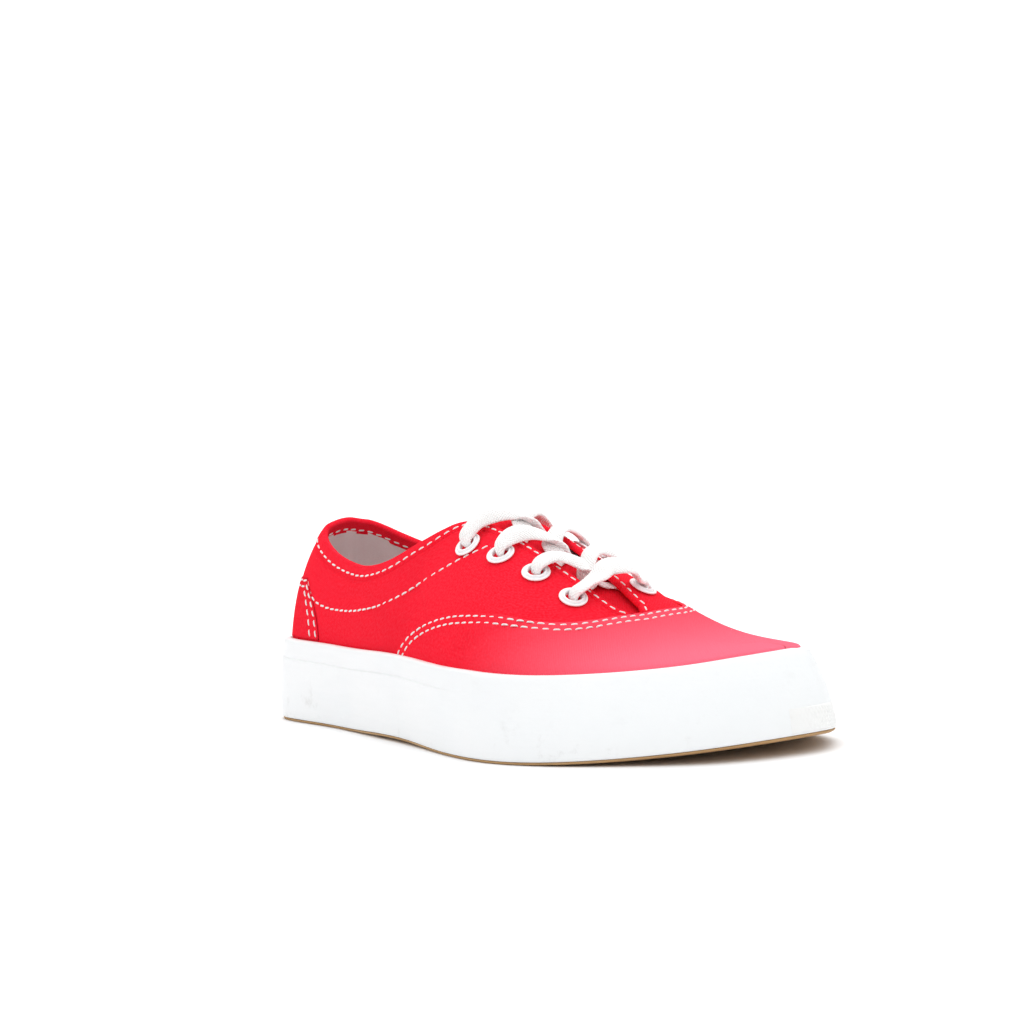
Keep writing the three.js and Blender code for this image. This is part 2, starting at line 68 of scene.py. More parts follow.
# ---------- driving dimensions, millimetres ----------
LENGTH = 235.0
BALL_WIDTH = 96.0
INSTEP_HEIGHT = 76.0
HEEL_HEIGHT = 66.5
GAP = 0.3
TOE_SPRING = 5.5
ARCH_LIFT = 0.9
SPRING_START = 0.68
ARCH_SPAN = (0.2, 0.55)
OUTSOLE_THICK = 10.0
OUTSOLE_RIM = 0.9
OUTSOLE_RIM_INSET = 0.5
FOXING_WALL = 3.0
FOXING_HEIGHTS = (27.4, 28.2, 26.5)
LEAN_CURVE = 1.8
CANVAS = 1.8
INSOLE_THICK = 3.2
COLLAR_SMOOTH = 0.35
CORNER_SOFT = 0.06
THROAT_END = 7.77
BUMPER = dict(start=11.6, end=13.6, low=0.06, high=0.35, thick=0.8)
COUNTER = dict(top=47.5, wide_low=2.6, wide_high=2.0)
TONGUE = dict(start=5.05, end=8.3, half=23.0, below=3.1)

SOLE = table(
    "at lateral medial lean",
    (0.000, 0.000, 0.000, 3.0),
    (0.015, 0.190, 0.165, 2.4),
    (0.070, 0.268, 0.290, 1.2),
    (0.180, 0.305, 0.342, 0.0),
    (0.300, 0.376, 0.318, -0.8),
    (0.420, 0.450, 0.296, -0.2),
    (0.540, 0.540, 0.330, 1.2),
    (0.650, 0.592, 0.392, 3.0),
    (0.750, 0.552, 0.430, 4.6),
    (0.840, 0.445, 0.428, 5.6),
    (0.920, 0.310, 0.368, 7.0),
    (0.975, 0.138, 0.255, 8.6),
    (1.000, -0.112, 0.112, 9.4),
)
RIDGE = table(
    "along side high swell flat_out flat_in",
    (0.135, 0.0, 0.950, 0.56, 0.56, 0.56),
    (0.140, 0.0, 0.945, 0.56, 0.56, 0.56),
    (0.165, 0.0, 0.960, 0.52, 0.52, 0.52),
    (0.220, 0.0, 0.955, 0.42, 0.46, 0.46),
    (0.315, 0.0, 0.990, 0.36, 0.36, 0.38),
    (0.420, -2.0, 0.980, 0.32, 0.28, 0.40),
    (0.530, -4.0, 0.865, 0.39, 0.38, 0.52),
    (0.640, -4.0, 0.690, 0.40, 0.42, 0.66),
    (0.735, -1.5, 0.515, 0.44, 0.46, 0.66),
    (0.810, 2.2, 0.444, 0.47, 0.48, 0.54),
    (0.860, 6.0, 0.425, 0.49, 0.49, 0.50),
    (0.888, 8.0, 0.425, 0.50, 0.50, 0.50),
    (0.898, 9.0, 0.432, 0.50, 0.50, 0.50),
)
COLLAR = table(
    "station high",
    (0.0, HEEL_HEIGHT),
    (1.6, 64.1),
    (2.9, 54.2),
    (3.7, 53.7),
    (4.3, 61.0),
    (4.8, 70.5),
    (5.3, 73.5),
)
THROAT = table(
    "station half",
    (4.4, 11.0),
    (5.3, 8.8),
    (6.0, 7.5),
    (6.6, 6.2),
    (7.2, 4.9),
    (7.6, 3.5),
    (THROAT_END, 0.0),
)
EYELETS = table(
    "station out",
    (5.34, 17.6),
    (5.96, 17.0),
    (6.57, 15.7),
    (7.20, 14.3),
)

# ---------- the last ----------
HALF = len(SOLE["at"]) - 1
ROUND = 2 * HALF


def ring(lateral, medial=None):
    """Values round the shoe: the lateral stations heel to toe, then the medial ones back to the heel."""
    medial = lateral if medial is None else medial
    return np.concatenate([lateral, medial[1:-1][::-1]])


def spline(values):
    """A closed cubic spline through one value for each station."""
    count = len(values)
    one = np.eye(count)
    system = 4 * one + np.roll(one, 1, 0) + np.roll(one, -1, 0)
    bend = np.linalg.solve(system, 6 * (np.roll(values, 1) - 2 * values + np.roll(values, -1)))

    def at(station):
        place = np.mod(station, count)
        i = np.floor(place).astype(int) % count
        j = (i + 1) % count
        t = place - np.floor(place)
        s = 1 - t
        curve = ((s**3 - s) * bend[i] + (t**3 - t) * bend[j]) / 6
        return s * values[i] + t * values[j] + curve

    return at


sole_x = spline(ring(SOLE["at"] * LENGTH))
sole_y = spline(ring(-SOLE["lateral"] * BALL_WIDTH, SOLE["medial"] * BALL_WIDTH))
lean = spline(ring(SOLE["lean"]))
ridge_x = spline(ring(RIDGE["along"] * LENGTH))
ridge_y = spline(ring(RIDGE["side"]))
ridge_z = spline(ring(RIDGE["high"] * INSTEP_HEIGHT))
swell = spline(ring(RIDGE["swell"]))
flat = spline(ring(RIDGE["flat_out"], RIDGE["flat_in"]))


def stack(*parts):
    return np.stack(np.broadcast_arrays(*parts), -1)


def unit(vectors):
    return vectors / np.maximum(np.linalg.norm(vectors, axis=-1, keepdims=True), 1e-9)


def run_length(points, axis=0):
    """Millimetres along each line of points, from 0 at its first point."""
    steps = np.linalg.norm(np.diff(points, axis=axis), axis=-1)
    start = np.zeros_like(np.take(steps, [0], axis))
    return np.concatenate([start, np.cumsum(steps, axis)], axis)


def smooth(low, high, value):
    """0 below low, 1 above high, and a soft step between."""
    t = np.clip((value - low) / (high - low), 0, 1)
    return t * t * (3 - 2 * t)


def underside(x):
    """Height of the sole's underside over the floor: lifted at arch and toe."""
    along = x / LENGTH
    toe = np.clip((along - SPRING_START) / (1 - SPRING_START), 0, 1)
    arch = np.clip((along - ARCH_SPAN[0]) / (ARCH_SPAN[1] - ARCH_SPAN[0]), 0, 1)
    return TOE_SPRING * toe**2 + ARCH_LIFT * np.sin(np.pi * arch) ** 2


def foxing_height(station):
    return np.interp(sole_x(station) / LENGTH, (0, 0.6, 1), FOXING_HEIGHTS)


def outward(station):
    """Unit vector out of the outline, in plan."""
    step = 1e-3
    along = unit(stack(*(line(station + step) - line(station - step) for line in (sole_x, sole_y))))
    return along[..., 1], -along[..., 0]


def wall(station, height, depth):
    """A point of the side wall: height over the underside, and depth inwards from its outer face."""
    part = np.maximum(height / foxing_height(station), 0)
    inset = lean(station) * part**LEAN_CURVE + depth
    out_x, out_y = outward(station)
    x = sole_x(station)
    return stack(x - out_x * inset, sole_y(station) - out_y * inset, underside(x) + height)


BURIED = 20.0


def skin(station, rise):
    """A point of the upper's outer face. A rise below 0 goes down inside the foxing, BURIED mm for each 1."""
    station, rise = np.broadcast_arrays(station, rise)
    station = station.astype(float)
    top = foxing_height(station)
    foot = wall(station, top, FOXING_WALL + GAP)
    ridge = stack(ridge_x(station), ridge_y(station), ridge_z(station))
    out_x, out_y = outward(station)
    climb = ((ridge - foot)[..., 2] * swell(station))[..., None]
    slope = LEAN_CURVE * lean(station) / top
    leave = foot + climb * stack(-out_x * slope, -out_y * slope, 1.0)
    arrive = ridge + (foot - ridge) * flat(station)[..., None]
    arrive[..., 2] = ridge[..., 2]
    t = np.clip(rise, 0, 1)[..., None]
    s = 1 - t
    curve = s**3 * foot + 3 * s * s * t * leave + 3 * s * t * t * arrive + t**3 * ridge
    hidden = wall(station, top + np.minimum(rise, 0) * BURIED, FOXING_WALL + GAP)
    return np.where(rise[..., None] < 0, hidden, curve)


def skin_normal(station, rise):
    step = 0.008
    rise = np.maximum(rise, step)
    along = skin(station + step, rise) - skin(station - step, rise)
    up = skin(station, np.minimum(rise + step, 1)) - skin(station, rise - step)
    return unit(np.cross(along, up))


def rise_where(station, is_below):
    """The highest rise at which a point of the section still passes a test, by halving."""
    station = np.asarray(station, float)
    low = np.zeros_like(station)
    high = np.ones_like(station)
    for _ in range(26):
        middle = (low + high) / 2
        below = is_below(skin(station, middle))
        low = np.where(below, middle, low)
        high = np.where(below, high, middle)
    return (low + high) / 2


def rise_at_height(station, height):
    return rise_where(station, lambda point: point[..., 2] < height)


def rise_at_gap(station, gap):
    """The rise at a distance in plan from the ridge."""
    x, y = ridge_x(station), ridge_y(station)
    return rise_where(station, lambda point: np.hypot(point[..., 0] - x, point[..., 1] - y) > gap)


def from_heel(station):
    """The station counted from the heel on either side."""
    place = np.mod(station, ROUND)
    return np.minimum(place, ROUND - place)


def on_side(station, side):
    """The same place on the lateral side, -1, or the medial side, 1."""
    return station if side < 0 else ROUND - station


def collar_height(place):
    offsets = np.array((-1, -0.5, 0, 0.5, 1)) * COLLAR_SMOOTH
    heights = [np.interp(np.abs(place + offset), COLLAR["station"], COLLAR["high"]) for offset in offsets]
    return sum(heights) / len(offsets)


def throat_half(place):
    """Half the throat's opening, beside the ridge."""
    return np.interp(place, THROAT["station"], THROAT["half"])


def edge_rise(station):
    """The rise of the upper's open edge: the collar, the throat, or the ridge in front of the throat."""
    place = from_heel(station)
    collar = rise_at_height(station, collar_height(place))
    throat = rise_at_gap(station, throat_half(place))
    both = (collar + throat - np.hypot(collar - throat, CORNER_SOFT)) / 2
    edge = np.where(place < THROAT["station"][0], collar, both)
    return np.where(place >= THROAT_END, 1.0, edge)


def halves(lateral):
    """A full round of stations from those of the lateral side, which run from 0 to HALF."""
    return np.concatenate([lateral, ROUND - lateral[1:-1][::-1]])


def frame_origin():
    """The CAD frame's origin on the last, from the foxing's own box."""
    station = np.linspace(0, ROUND, 2400, endpoint=False)
    outer = np.concatenate([wall(station, OUTSOLE_RIM + GAP, 0), wall(station, foxing_height(station), 0)])
    low, high = (np.array(corner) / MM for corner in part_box("foxing"))
    origin = (outer.min(0) + outer.max(0)) / 2 - (low + high) / 2
    origin[2] = 0.0
    return origin


ORIGIN = frame_origin()


# ---------- meshes ----------
def new_piece(name, points, faces, material, slot, cloth=None, replaces=(), weld=True):
    """An object from points in the last's millimetres. cloth gives each point its place on the flat cloth."""
    mesh = bpy.data.meshes.new(name)
    places = (np.asarray(points, float) - ORIGIN) * MM
    mesh.from_pydata(places.tolist(), [], [tuple(int(i) for i in face) for face in faces])
    if cloth is not None:
        attribute = mesh.attributes.new("cloth", "FLOAT_VECTOR", "POINT")
        attribute.data.foreach_set("vector", np.asarray(cloth, np.float32).ravel())
    if weld:
        tidy = bmesh.new()
        tidy.from_mesh(mesh)
        bmesh.ops.remove_doubles(tidy, verts=tidy.verts, dist=4e-6)
        bmesh.ops.dissolve_degenerate(tidy, edges=tidy.edges, dist=1e-7)
        tidy.to_mesh(mesh)
        tidy.free()
    mesh.shade_smooth()
    piece = bpy.data.objects.new(name, mesh)
    bpy.context.scene.collection.objects.link(piece)
    mesh.materials.append(material)
    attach(piece, "root")
    if replaces:
        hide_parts(*replaces)
    return piece


def grid_faces(columns, rows, closed=False, looped=False):
    """Quads of a grid of points. closed joins its last column to the first, looped its last row."""
    i = np.arange(columns if closed else columns - 1)[:, None]
    j = np.arange(rows if looped else rows - 1)[None, :]
    a = i * rows + j
    b = ((i + 1) % columns) * rows + j
    step = (j + 1) % rows - j
    return np.stack([a, b, b + step, a + step], -1).reshape(-1, 4).astype(int)


def tube_faces(rings, sides):
    """Quads round a tube of rings of points, and a cap on each end."""
    ring_start = np.arange(rings - 1)[:, None] * sides
    a = ring_start + np.arange(sides)
    b = ring_start + (np.arange(sides) + 1) % sides
    quads = np.stack([a, b, b + sides, a + sides], -1).reshape(-1, 4)[:, ::-1].tolist()
    return quads + [list(range(sides)), list(range((rings - 1) * sides, rings * sides))[::-1]]


def joined(parts):
    """One set of points and faces from several."""
    points, faces, start = [], [], 0
    for part_points, part_faces in parts:
        points.append(part_points)
        faces += [[i + start for i in face] for face in part_faces]
        start += len(part_points)
    return np.concatenate(points), faces


def open_edges(faces):
    """The directed edges that only one face uses."""
    pairs = np.concatenate([faces[:, [k, (k + 1) % faces.shape[1]]] for k in range(faces.shape[1])])
    key = np.sort(pairs, 1)
    _, first, count = np.unique(key, axis=0, return_index=True, return_counts=True)
    return pairs[first[count == 1]]


def thick_sheet(points, normals, faces, inner, outer):
    """A closed body between two offsets of a sheet. Returns points and faces."""
    inner, outer = (np.broadcast_to(side, points.shape[:-1]).reshape(-1, 1) for side in (inner, outer))
    points, normals = points.reshape(-1, 3), normals.reshape(-1, 3)
    count = len(points)
    edges = open_edges(faces)
    sides = np.stack([edges[:, 1], edges[:, 0], edges[:, 0] + count, edges[:, 1] + count], 1)
    body = np.concatenate([points + normals * outer, points + normals * inner])
    return body, np.concatenate([faces, faces[:, ::-1] + count, sides])


def new_cloth(name, sheet, material, slot, cloth, replaces=()):
    """A thick sheet as a piece: its outer and inner points share their places on the flat cloth."""
    points, faces = thick_sheet(*sheet)
    flat = cloth.reshape(-1, 3)
    new_piece(name, points, faces, material, slot, np.concatenate([flat, flat]), replaces)


def section_rises(station, edge, distances):
    """Rises at distances, in mm, square to the open edge."""
    steps = np.linspace(0, 1, 161)
    rise = edge[:, None] * (1 - steps)
    points = skin(station[:, None], rise)
    length = run_length(points, axis=1)
    down = unit(points[:, 3] - points[:, 0])
    step = 0.01
    ahead = skin(station + step, edge_rise(station + step)) - skin(station - step, edge_rise(station - step))
    square = np.linalg.norm(np.cross(unit(ahead), down), axis=-1)
    square = np.where(edge > 0.9999, 1.0, np.clip(square, 0.35, 1))
    rows = [np.interp(np.asarray(distances) / square[k], length[k], rise[k]) for k in range(len(station))]
    return np.array(rows)


def cloth_map(station, points):
    """Millimetres round the shoe, millimetres up the section, for a grid of columns."""
    around = run_length(skin(station, np.full_like(station, 0.3)))
    up = run_length(points, axis=1)
    return stack(around[:, None], up, 0 * up)


def both_ways(cloth):
    """The cloth's length counted from the heel along either side, so that it meets itself there."""
    whole = cloth[-1:, :, 0] + cloth[1:2, :, 0]
    length = np.minimum(cloth[..., 0], whole - cloth[..., 0])
    return stack(length, cloth[..., 1], cloth[..., 2])


def bumps(points):
    """The cloth's soft troughs and ridges, as offsets along its normals."""
    total = np.zeros(points.shape[:-1])
    for row in range(len(CREASES["x"])):
        crease = {key: values[row] for key, values in CREASES.items()}
        turn = np.radians(crease["turn"])
        side = (points[..., 1] - crease["y"]) * crease["side"] > -CREASE_OVERRUN
        dx = points[..., 0] - crease["x"]
        dz = points[..., 2] - crease["z"]
        along = dx * np.cos(turn) + dz * np.sin(turn)
        across = -dx * np.sin(turn) + dz * np.cos(turn)
        across = across + crease["bow"] * (along / crease["long"]) ** 2
        shape = np.exp(-((along / crease["long"]) ** 2)) * side
        trough = np.exp(-((across / crease["wide"]) ** 2))
        ridge = np.exp(-(((across - 2 * crease["wide"]) / crease["wide"]) ** 2))
        total += crease["deep"] * shape * (0.6 * ridge - trough)
    return total


# How far a crease may run past its own y towards the other side of the shoe.
CREASE_OVERRUN = 18.0
# Near the upper's open edge the creases die out over these distances from it.
CREASE_FADE = (4, 12)
# The main creases: x, y, z in mm on the last, turn in degrees, side -1 lateral and 1 medial.
CREASES = table(
    "x y z turn long wide deep bow side",
    (150, -40, 40, 20, 16, 2.6, 0.45, 1.5, -1),
    (165, -38, 37, 12, 14, 2.4, 0.35, 1.0, -1),
    (92, -28, 48, -35, 18, 3.2, 0.40, 2.0, -1),
    (70, -26, 40, -20, 16, 3.0, 0.35, 1.5, -1),
    (52, -26, 44, 10, 14, 2.8, 0.35, 1.0, -1),
    (150, 36, 40, 20, 16, 2.6, 0.45, 1.5, 1),
    (90, 26, 48, -35, 18, 3.2, 0.40, 2.0, 1),
    (60, 26, 42, -15, 16, 3.0, 0.35, 1.5, 1),
)

# ---------- materials ----------
def node(tree, kind, inputs=(), **settings):
    """A new node. inputs holds pairs of a name or index and a value or socket."""
    made = tree.nodes.new(kind)
    for name, value in settings.items():
        setattr(made, name, value)
    for name, value in inputs:
        if isinstance(value, bpy.types.NodeSocket):
            tree.links.new(value, made.inputs[name])
        else:
            made.inputs[name].default_value = value
    return made


def maths(tree, operation, *values):
    return node(tree, "ShaderNodeMath", enumerate(values), operation=operation).outputs[0]


def times(tree, one, two):
    return maths(tree, "MULTIPLY", one, two)


def plus(tree, one, two):
    return maths(tree, "ADD", one, two)


def mixed(tree, share, one, two):
    made = node(tree, "ShaderNodeMix", [(0, share), (6, one), (7, two)], data_type="RGBA")
    return made.outputs[2]


def noise(tree, place, scale, detail=3.0, roughness=0.55):
    inputs = [("Vector", place), ("Scale", scale), ("Detail", detail), ("Roughness", roughness)]
    return node(tree, "ShaderNodeTexNoise", inputs).outputs["Fac"]


def spread(tree, value, low, high, to_low=0.0, to_high=1.0):
    """value carried from low..high to to_low..to_high, smoothly, and held at the ends."""
    sockets = ("Value", "From Min", "From Max", "To Min", "To Max")
    inputs = zip(sockets, (value, low, high, to_low, to_high))
    return node(tree, "ShaderNodeMapRange", inputs, interpolation_type="SMOOTHSTEP").outputs[0]


def new_material(name, roughness, **settings):
    material = bpy.data.materials.new(name)
    material.use_nodes = True
    tree = material.node_tree
    shader = tree.nodes["Principled BSDF"]
    shader.inputs["Roughness"].default_value = roughness
    for socket, value in settings.items():
        shader.inputs[socket.replace("_", " ")].default_value = value
    return material, tree, shader


def finish_material(tree, shader, colour, height, deep, roughness=None):
    """Wires colour and bump. deep is the bump's real depth in metres."""
    tree.links.new(colour, shader.inputs["Base Color"])
    if roughness is not None:
        tree.links.new(roughness, shader.inputs["Roughness"])
    bump = node(tree, "ShaderNodeBump", [("Strength", 1.0), ("Distance", deep), ("Height", height)])
    tree.links.new(bump.outputs[0], shader.inputs["Normal"])


def cloth_place(tree):
    """The flat cloth's own millimetres: u along, v across."""
    attribute = node(tree, "ShaderNodeAttribute", attribute_name="cloth")
    parts = node(tree, "ShaderNodeSeparateXYZ", [(0, attribute.outputs["Vector"])])
    return attribute.outputs["Vector"], parts.outputs[0], parts.outputs[1]


def object_place(tree):
    return node(tree, "ShaderNodeTexCoord").outputs["Object"]


TURN = 2 * np.pi


def woven_material(name, dark, light, pale, thread, deep, painted_glare=0.0, **settings):
    """Woven cotton: two sets of threads, slubs, uneven dye, thread crowns paler from wear and painted
    highlight, and, where asked, a painted glare towards the toe.
    """
    material, tree, shader = new_material(name, 0.9, **settings)
    place, u, v = cloth_place(tree)
    here = object_place(tree)
    turn = TURN / thread
    diagonal = plus(tree, u, v)
    wobble = times(tree, noise(tree, here, 260.0), 1.2)
    warp = maths(tree, "SINE", plus(tree, times(tree, u, turn), wobble))
    weft = maths(tree, "SINE", plus(tree, times(tree, v, turn), times(tree, diagonal, turn / 2)))
    twill = maths(tree, "SINE", times(tree, diagonal, turn / 1.6))
    weave = plus(tree, times(tree, warp, weft), times(tree, twill, 0.5))
    slub = noise(tree, place, 1.1, 2.0)
    dye = spread(tree, noise(tree, here, 38.0, 4.0), 0.2, 0.75, 0.25, 0.85)
    # Thread crowns paler: partly wear, partly a painted highlight on the raised threads.
    crown = spread(tree, weave, -1.4, 1.5, 0.0, 0.5)
    worn = times(tree, crown, spread(tree, slub, 0.2, 0.8))
    colour = mixed(tree, worn, mixed(tree, dye, dark, light), pale)
    # Painted glare: the colour turns to a pale pink along x towards the toe, the same from every side.
    if painted_glare:
        x = node(tree, "ShaderNodeSeparateXYZ", [(0, here)]).outputs[0]
        colour = mixed(tree, times(tree, spread(tree, x, *PAINTED_GLARE_SPAN), painted_glare), colour, PAINTED_GLARE)
    fuzz = times(tree, noise(tree, here, 2600.0, 2.0), 1.1)
    height = plus(tree, plus(tree, weave, fuzz), times(tree, slub, 0.8))
    finish_material(tree, shader, colour, height, deep)
    return material


def rubber_material(name, clean, tinted, grime, roughness):
    """Moulded rubber: faint mottling, scuffs that break the gloss, and grime low down."""
    material, tree, shader = new_material(name, roughness)
    here = object_place(tree)
    mottle = spread(tree, noise(tree, here, 30.0, 4.0), 0.38, 0.7)
    z = node(tree, "ShaderNodeSeparateXYZ", [(0, here)]).outputs[2]
    low = spread(tree, z, *GRIME_SPAN, 1.0, 0.0)
    stain = spread(tree, noise(tree, here, 95.0, 5.0, 0.7), 0.56, 0.78)
    marks = times(tree, stain, plus(tree, times(tree, low, 0.35), 0.05))
    colour = mixed(tree, marks, mixed(tree, mottle, clean, tinted), grime)
    streaks = node(tree, "ShaderNodeMapping", [(0, here), ("Scale", (60, 60, 700))]).outputs[0]
    scuff = noise(tree, streaks, 1.0, 5.0)
    gloss = spread(tree, scuff, 0.3, 0.75, roughness - 0.08, roughness + 0.2)
    grain = times(tree, noise(tree, here, 900.0, 3.0), 0.4)
    height = plus(tree, grain, times(tree, scuff, 0.5))
    finish_material(tree, shader, colour, height, 0.00018, roughness=gloss)
    return material


def thread_material(name, dark, light, pitch, deep, **settings):
    """Twisted or braided cotton: chevrons along the strand, from its own length and width."""
    material, tree, shader = new_material(name, 0.85, **settings)
    _, u, v = cloth_place(tree)
    here = object_place(tree)
    turn = TURN / pitch
    ply = maths(tree, "SINE", plus(tree, times(tree, u, turn), times(tree, maths(tree, "ABSOLUTE", v), turn)))
    strand = maths(tree, "SINE", times(tree, v, 2 * turn))
    braid = times(tree, ply, plus(tree, strand, 1.6))
    fibre = noise(tree, here, 2200.0, 3.0)
    shade = spread(tree, plus(tree, braid, fibre), -2.4, 1.8)
    height = plus(tree, braid, times(tree, fibre, 2.0))
    finish_material(tree, shader, mixed(tree, shade, dark, light), height, deep)
    return material


def enamel_material(name, clean, worn):
    """Enamel on metal, worn a little at random, with a soft gloss."""
    material, tree, shader = new_material(name, 0.28, Metallic=0.0, Coat_Weight=0.4)
    here = object_place(tree)
    wear = spread(tree, noise(tree, here, 700.0, 4.0), 0.66, 0.74)
    finish_material(tree, shader, mixed(tree, wear, clean, worn), noise(tree, here, 500.0), 0.00005)
    return material


def rgb(red, green, blue):
    return red, green, blue, 1


# Metres in the frame: where the vamp's painted glare begins and is full, and where grime is full and ends.
PAINTED_GLARE_SPAN = (0.012, 0.096)
GRIME_SPAN = (0.002, 0.020)
# The pale pink of the vamp's painted glare.
PAINTED_GLARE = rgb(1.0, 0.165, 0.245)
# Woven colours: dark and light dye, the thread crowns' pale (partly wear, partly painted highlight), thread
# pitch in mm, bump depth in m.
RED = [rgb(0.93, 0.004, 0.020), rgb(1.0, 0.008, 0.028), rgb(1.0, 0.09, 0.14), 0.62, 0.00006]
DRY = dict(Specular_IOR_Level=0.06, Sheen_Weight=0.0)
LINING = [rgb(0.86, 0.72, 0.72), rgb(0.94, 0.82, 0.82), rgb(0.98, 0.92, 0.92), 0.5, 0.00005]
FOOTBED = [rgb(0.72, 0.66, 0.62), rgb(0.80, 0.75, 0.71), rgb(0.88, 0.84, 0.81), 0.8, 0.00006]
FOXING = [rgb(0.865, 0.88, 0.885), rgb(0.85, 0.87, 0.88), rgb(0.45, 0.43, 0.41), 0.42]
STRIP = [rgb(0.87, 0.88, 0.88), rgb(0.85, 0.85, 0.84), rgb(0.35, 0.32, 0.30), 0.5]
GUM = [rgb(0.50, 0.30, 0.13), rgb(0.42, 0.24, 0.10), rgb(0.10, 0.07, 0.05), 0.55]
BRAID = [rgb(0.93, 0.91, 0.90), rgb(0.99, 0.985, 0.98), 1.1, 0.00006]
THREAD = [rgb(0.88, 0.84, 0.83), rgb(0.98, 0.97, 0.96), 0.45, 0.00003]

canvas_look = woven_material("red_canvas", *RED, **DRY)
# The vamp's cloth carries a painted glare towards the toe.
vamp_glare_look = woven_material("red_canvas_vamp_painted_glare", *RED, painted_glare=0.95, **DRY)
tongue_look = woven_material("red_canvas_tongue", *RED, **DRY)
lining_look = woven_material("cotton_lining", *LINING)
footbed_look = woven_material("footbed_cloth", *FOOTBED)
foxing_look = rubber_material("white_foxing", *FOXING)
bumper_look = rubber_material("white_bumper", *STRIP)
gum_look = rubber_material("gum_rubber", *GUM)
lace_look = thread_material("braided_cotton", *BRAID, Specular_IOR_Level=0.1)
stitch_look = thread_material("white_thread", *THREAD)
enamel_look = enamel_material("white_enamel", rgb(0.88, 0.89, 0.90), rgb(0.60, 0.62, 0.64))


# ---------- the upper's cloth ----------
def soft_line(line, count, reach):
    """Two columns of a table as a smooth line: each place is the mean of five near it."""
    knots = np.arange(len(line["station"]))
    dense = np.linspace(0, knots[-1], count)
    shifts = np.array((-1, -0.5, 0, 0.5, 1)) * reach
    places = dense + shifts[:, None]
    return [np.interp(places, knots, values).mean(0) for values in line.values()]


# The vamp overlay's edge on either side, from the foxing to the ridge.
SEAM = table(
    "station rise",
    (4.62, -0.08),
    (4.72, 0.02),
    (4.86, 0.10),
    (5.05, 0.17),
    (5.35, 0.235),
    (5.80, 0.300),
    (6.20, 0.345),
    (6.60, 0.400),
    (7.00, 0.460),
    (7.30, 0.520),
    (7.52, 0.590),
    (7.66, 0.690),
    (7.74, 0.800),
    (7.79, 0.920),
    (7.82, 1.000),
)
SEAM_END = SEAM["station"][-1]


def side_stations(*spans):
    """Lateral stations through spans of (start, end, steps)."""
    parts = [np.linspace(start, end, int(steps) + 1) for start, end, steps in spans]
    return np.unique(np.concatenate(parts).round(6))


def distance_to(points, line):
    """The distance of each point from a polyline."""
    flat_points = points.reshape(-1, 3)
    start, end = line[:-1], line[1:]
    run = end - start
    square = np.maximum((run**2).sum(-1), 1e-9)
    best = np.empty(len(flat_points))
    for low in range(0, len(flat_points), 4000):
        part = flat_points[low : low + 4000, None]
        t = np.clip(((part - start) * run).sum(-1) / square, 0, 1)[..., None]
        best[low : low + 4000] = np.linalg.norm(start + t * run - part, axis=-1).min(1)
    return best.reshape(points.shape[:-1])


def ridge_normals(normals, closed, wrapped=True):
    """Both sides share one normal where they meet on the ridge. A wrapped grid goes right round the shoe."""
    count = len(normals)
    mirror = (count - np.arange(count)) % count if wrapped else count - 1 - np.arange(count)
    shared = unit(normals[:, 0] + normals[mirror, 0])
    normals[:, 0] = np.where(closed[:, None], shared, normals[:, 0])
    return normals


def trough(distance, row, wide):
    """The soft trough that a row of stitches pulls into cloth."""
    return np.exp(-(((distance - row) / wide) ** 2))


HEM = dict(collar_row=4.0, throat_row=1.8, narrows=(4.5, 5.2), beyond=1.0, high=0.45, roll=0.9)
HEM |= dict(trough=0.16, groove=0.28, wide=0.4)
EDGE_ROWS = (0, 0.05, 0.2, 0.45, 0.7, 0.95, 1.4, 1.9, 2.3, 2.6)
EDGE_ROWS += (2.9, 3.3, 3.7, 4.0, 4.3, 4.7, 5.1, 5.5, 6.0, 7.0)
MAIN_ROWS = 26
FOOT_ROWS = 8
FOOT_RISE = -0.86
# Where the lining takes over from the folded hem, its top row, and the canvas's own thickness behind it.
LINING_SPAN = (5.6, 6.2)
LINING_ROW = 15
SINGLE_CANVAS = 1.0


def hem_row(place):
    """The hem's stitch row: its distance from the open edge."""
    return HEM["collar_row"] + (HEM["throat_row"] - HEM["collar_row"]) * smooth(*HEM["narrows"], place)


def upper_grid():
    """Rises, points and normals: close rows by the open edge, wide ones below, and the foot in the foxing."""
    rises = section_rises(upper_stations, upper_edge, EDGE_ROWS)
    main = rises[:, -1:] * (1 - np.linspace(0, 1, MAIN_ROWS + 1)[1:])
    foot = np.broadcast_to(FOOT_RISE * np.linspace(0, 1, FOOT_ROWS + 1)[1:], (len(upper_stations), FOOT_ROWS))
    rises = np.concatenate([rises, main, foot], 1)
    normals = skin_normal(upper_stations[:, None], rises)
    return rises, skin(upper_stations[:, None], rises), ridge_normals(normals, upper_place >= THROAT_END)


def rounded(distance, radius, high, low):
    """Outer and inner offsets of cloth whose edge is rolled round with this radius."""
    middle = (high + low) / 2
    t = np.clip(distance / radius, 0, 1)
    open_up = np.sqrt(1 - (1 - t) ** 2)
    return middle + (high - middle) * open_up, middle - (middle - low) * open_up


upper_lateral = side_stations((0, 7.2, 150), (7.2, 7.7, 24), (7.7, 7.9, 24), (7.9, HALF, 66))
upper_stations = halves(upper_lateral)
upper_place = from_heel(upper_stations)
upper_edge = edge_rise(upper_stations)
upper_rises, upper_points, upper_normals = upper_grid()
# The columns with an open edge, from the throat's end by the medial side and the heel to its end again.
open_columns = np.roll(np.arange(len(upper_stations)), len(upper_stations) // 2)
open_columns = open_columns[upper_place[open_columns] <= THROAT_END]
upper_distance = distance_to(upper_points, upper_points[open_columns, 0])


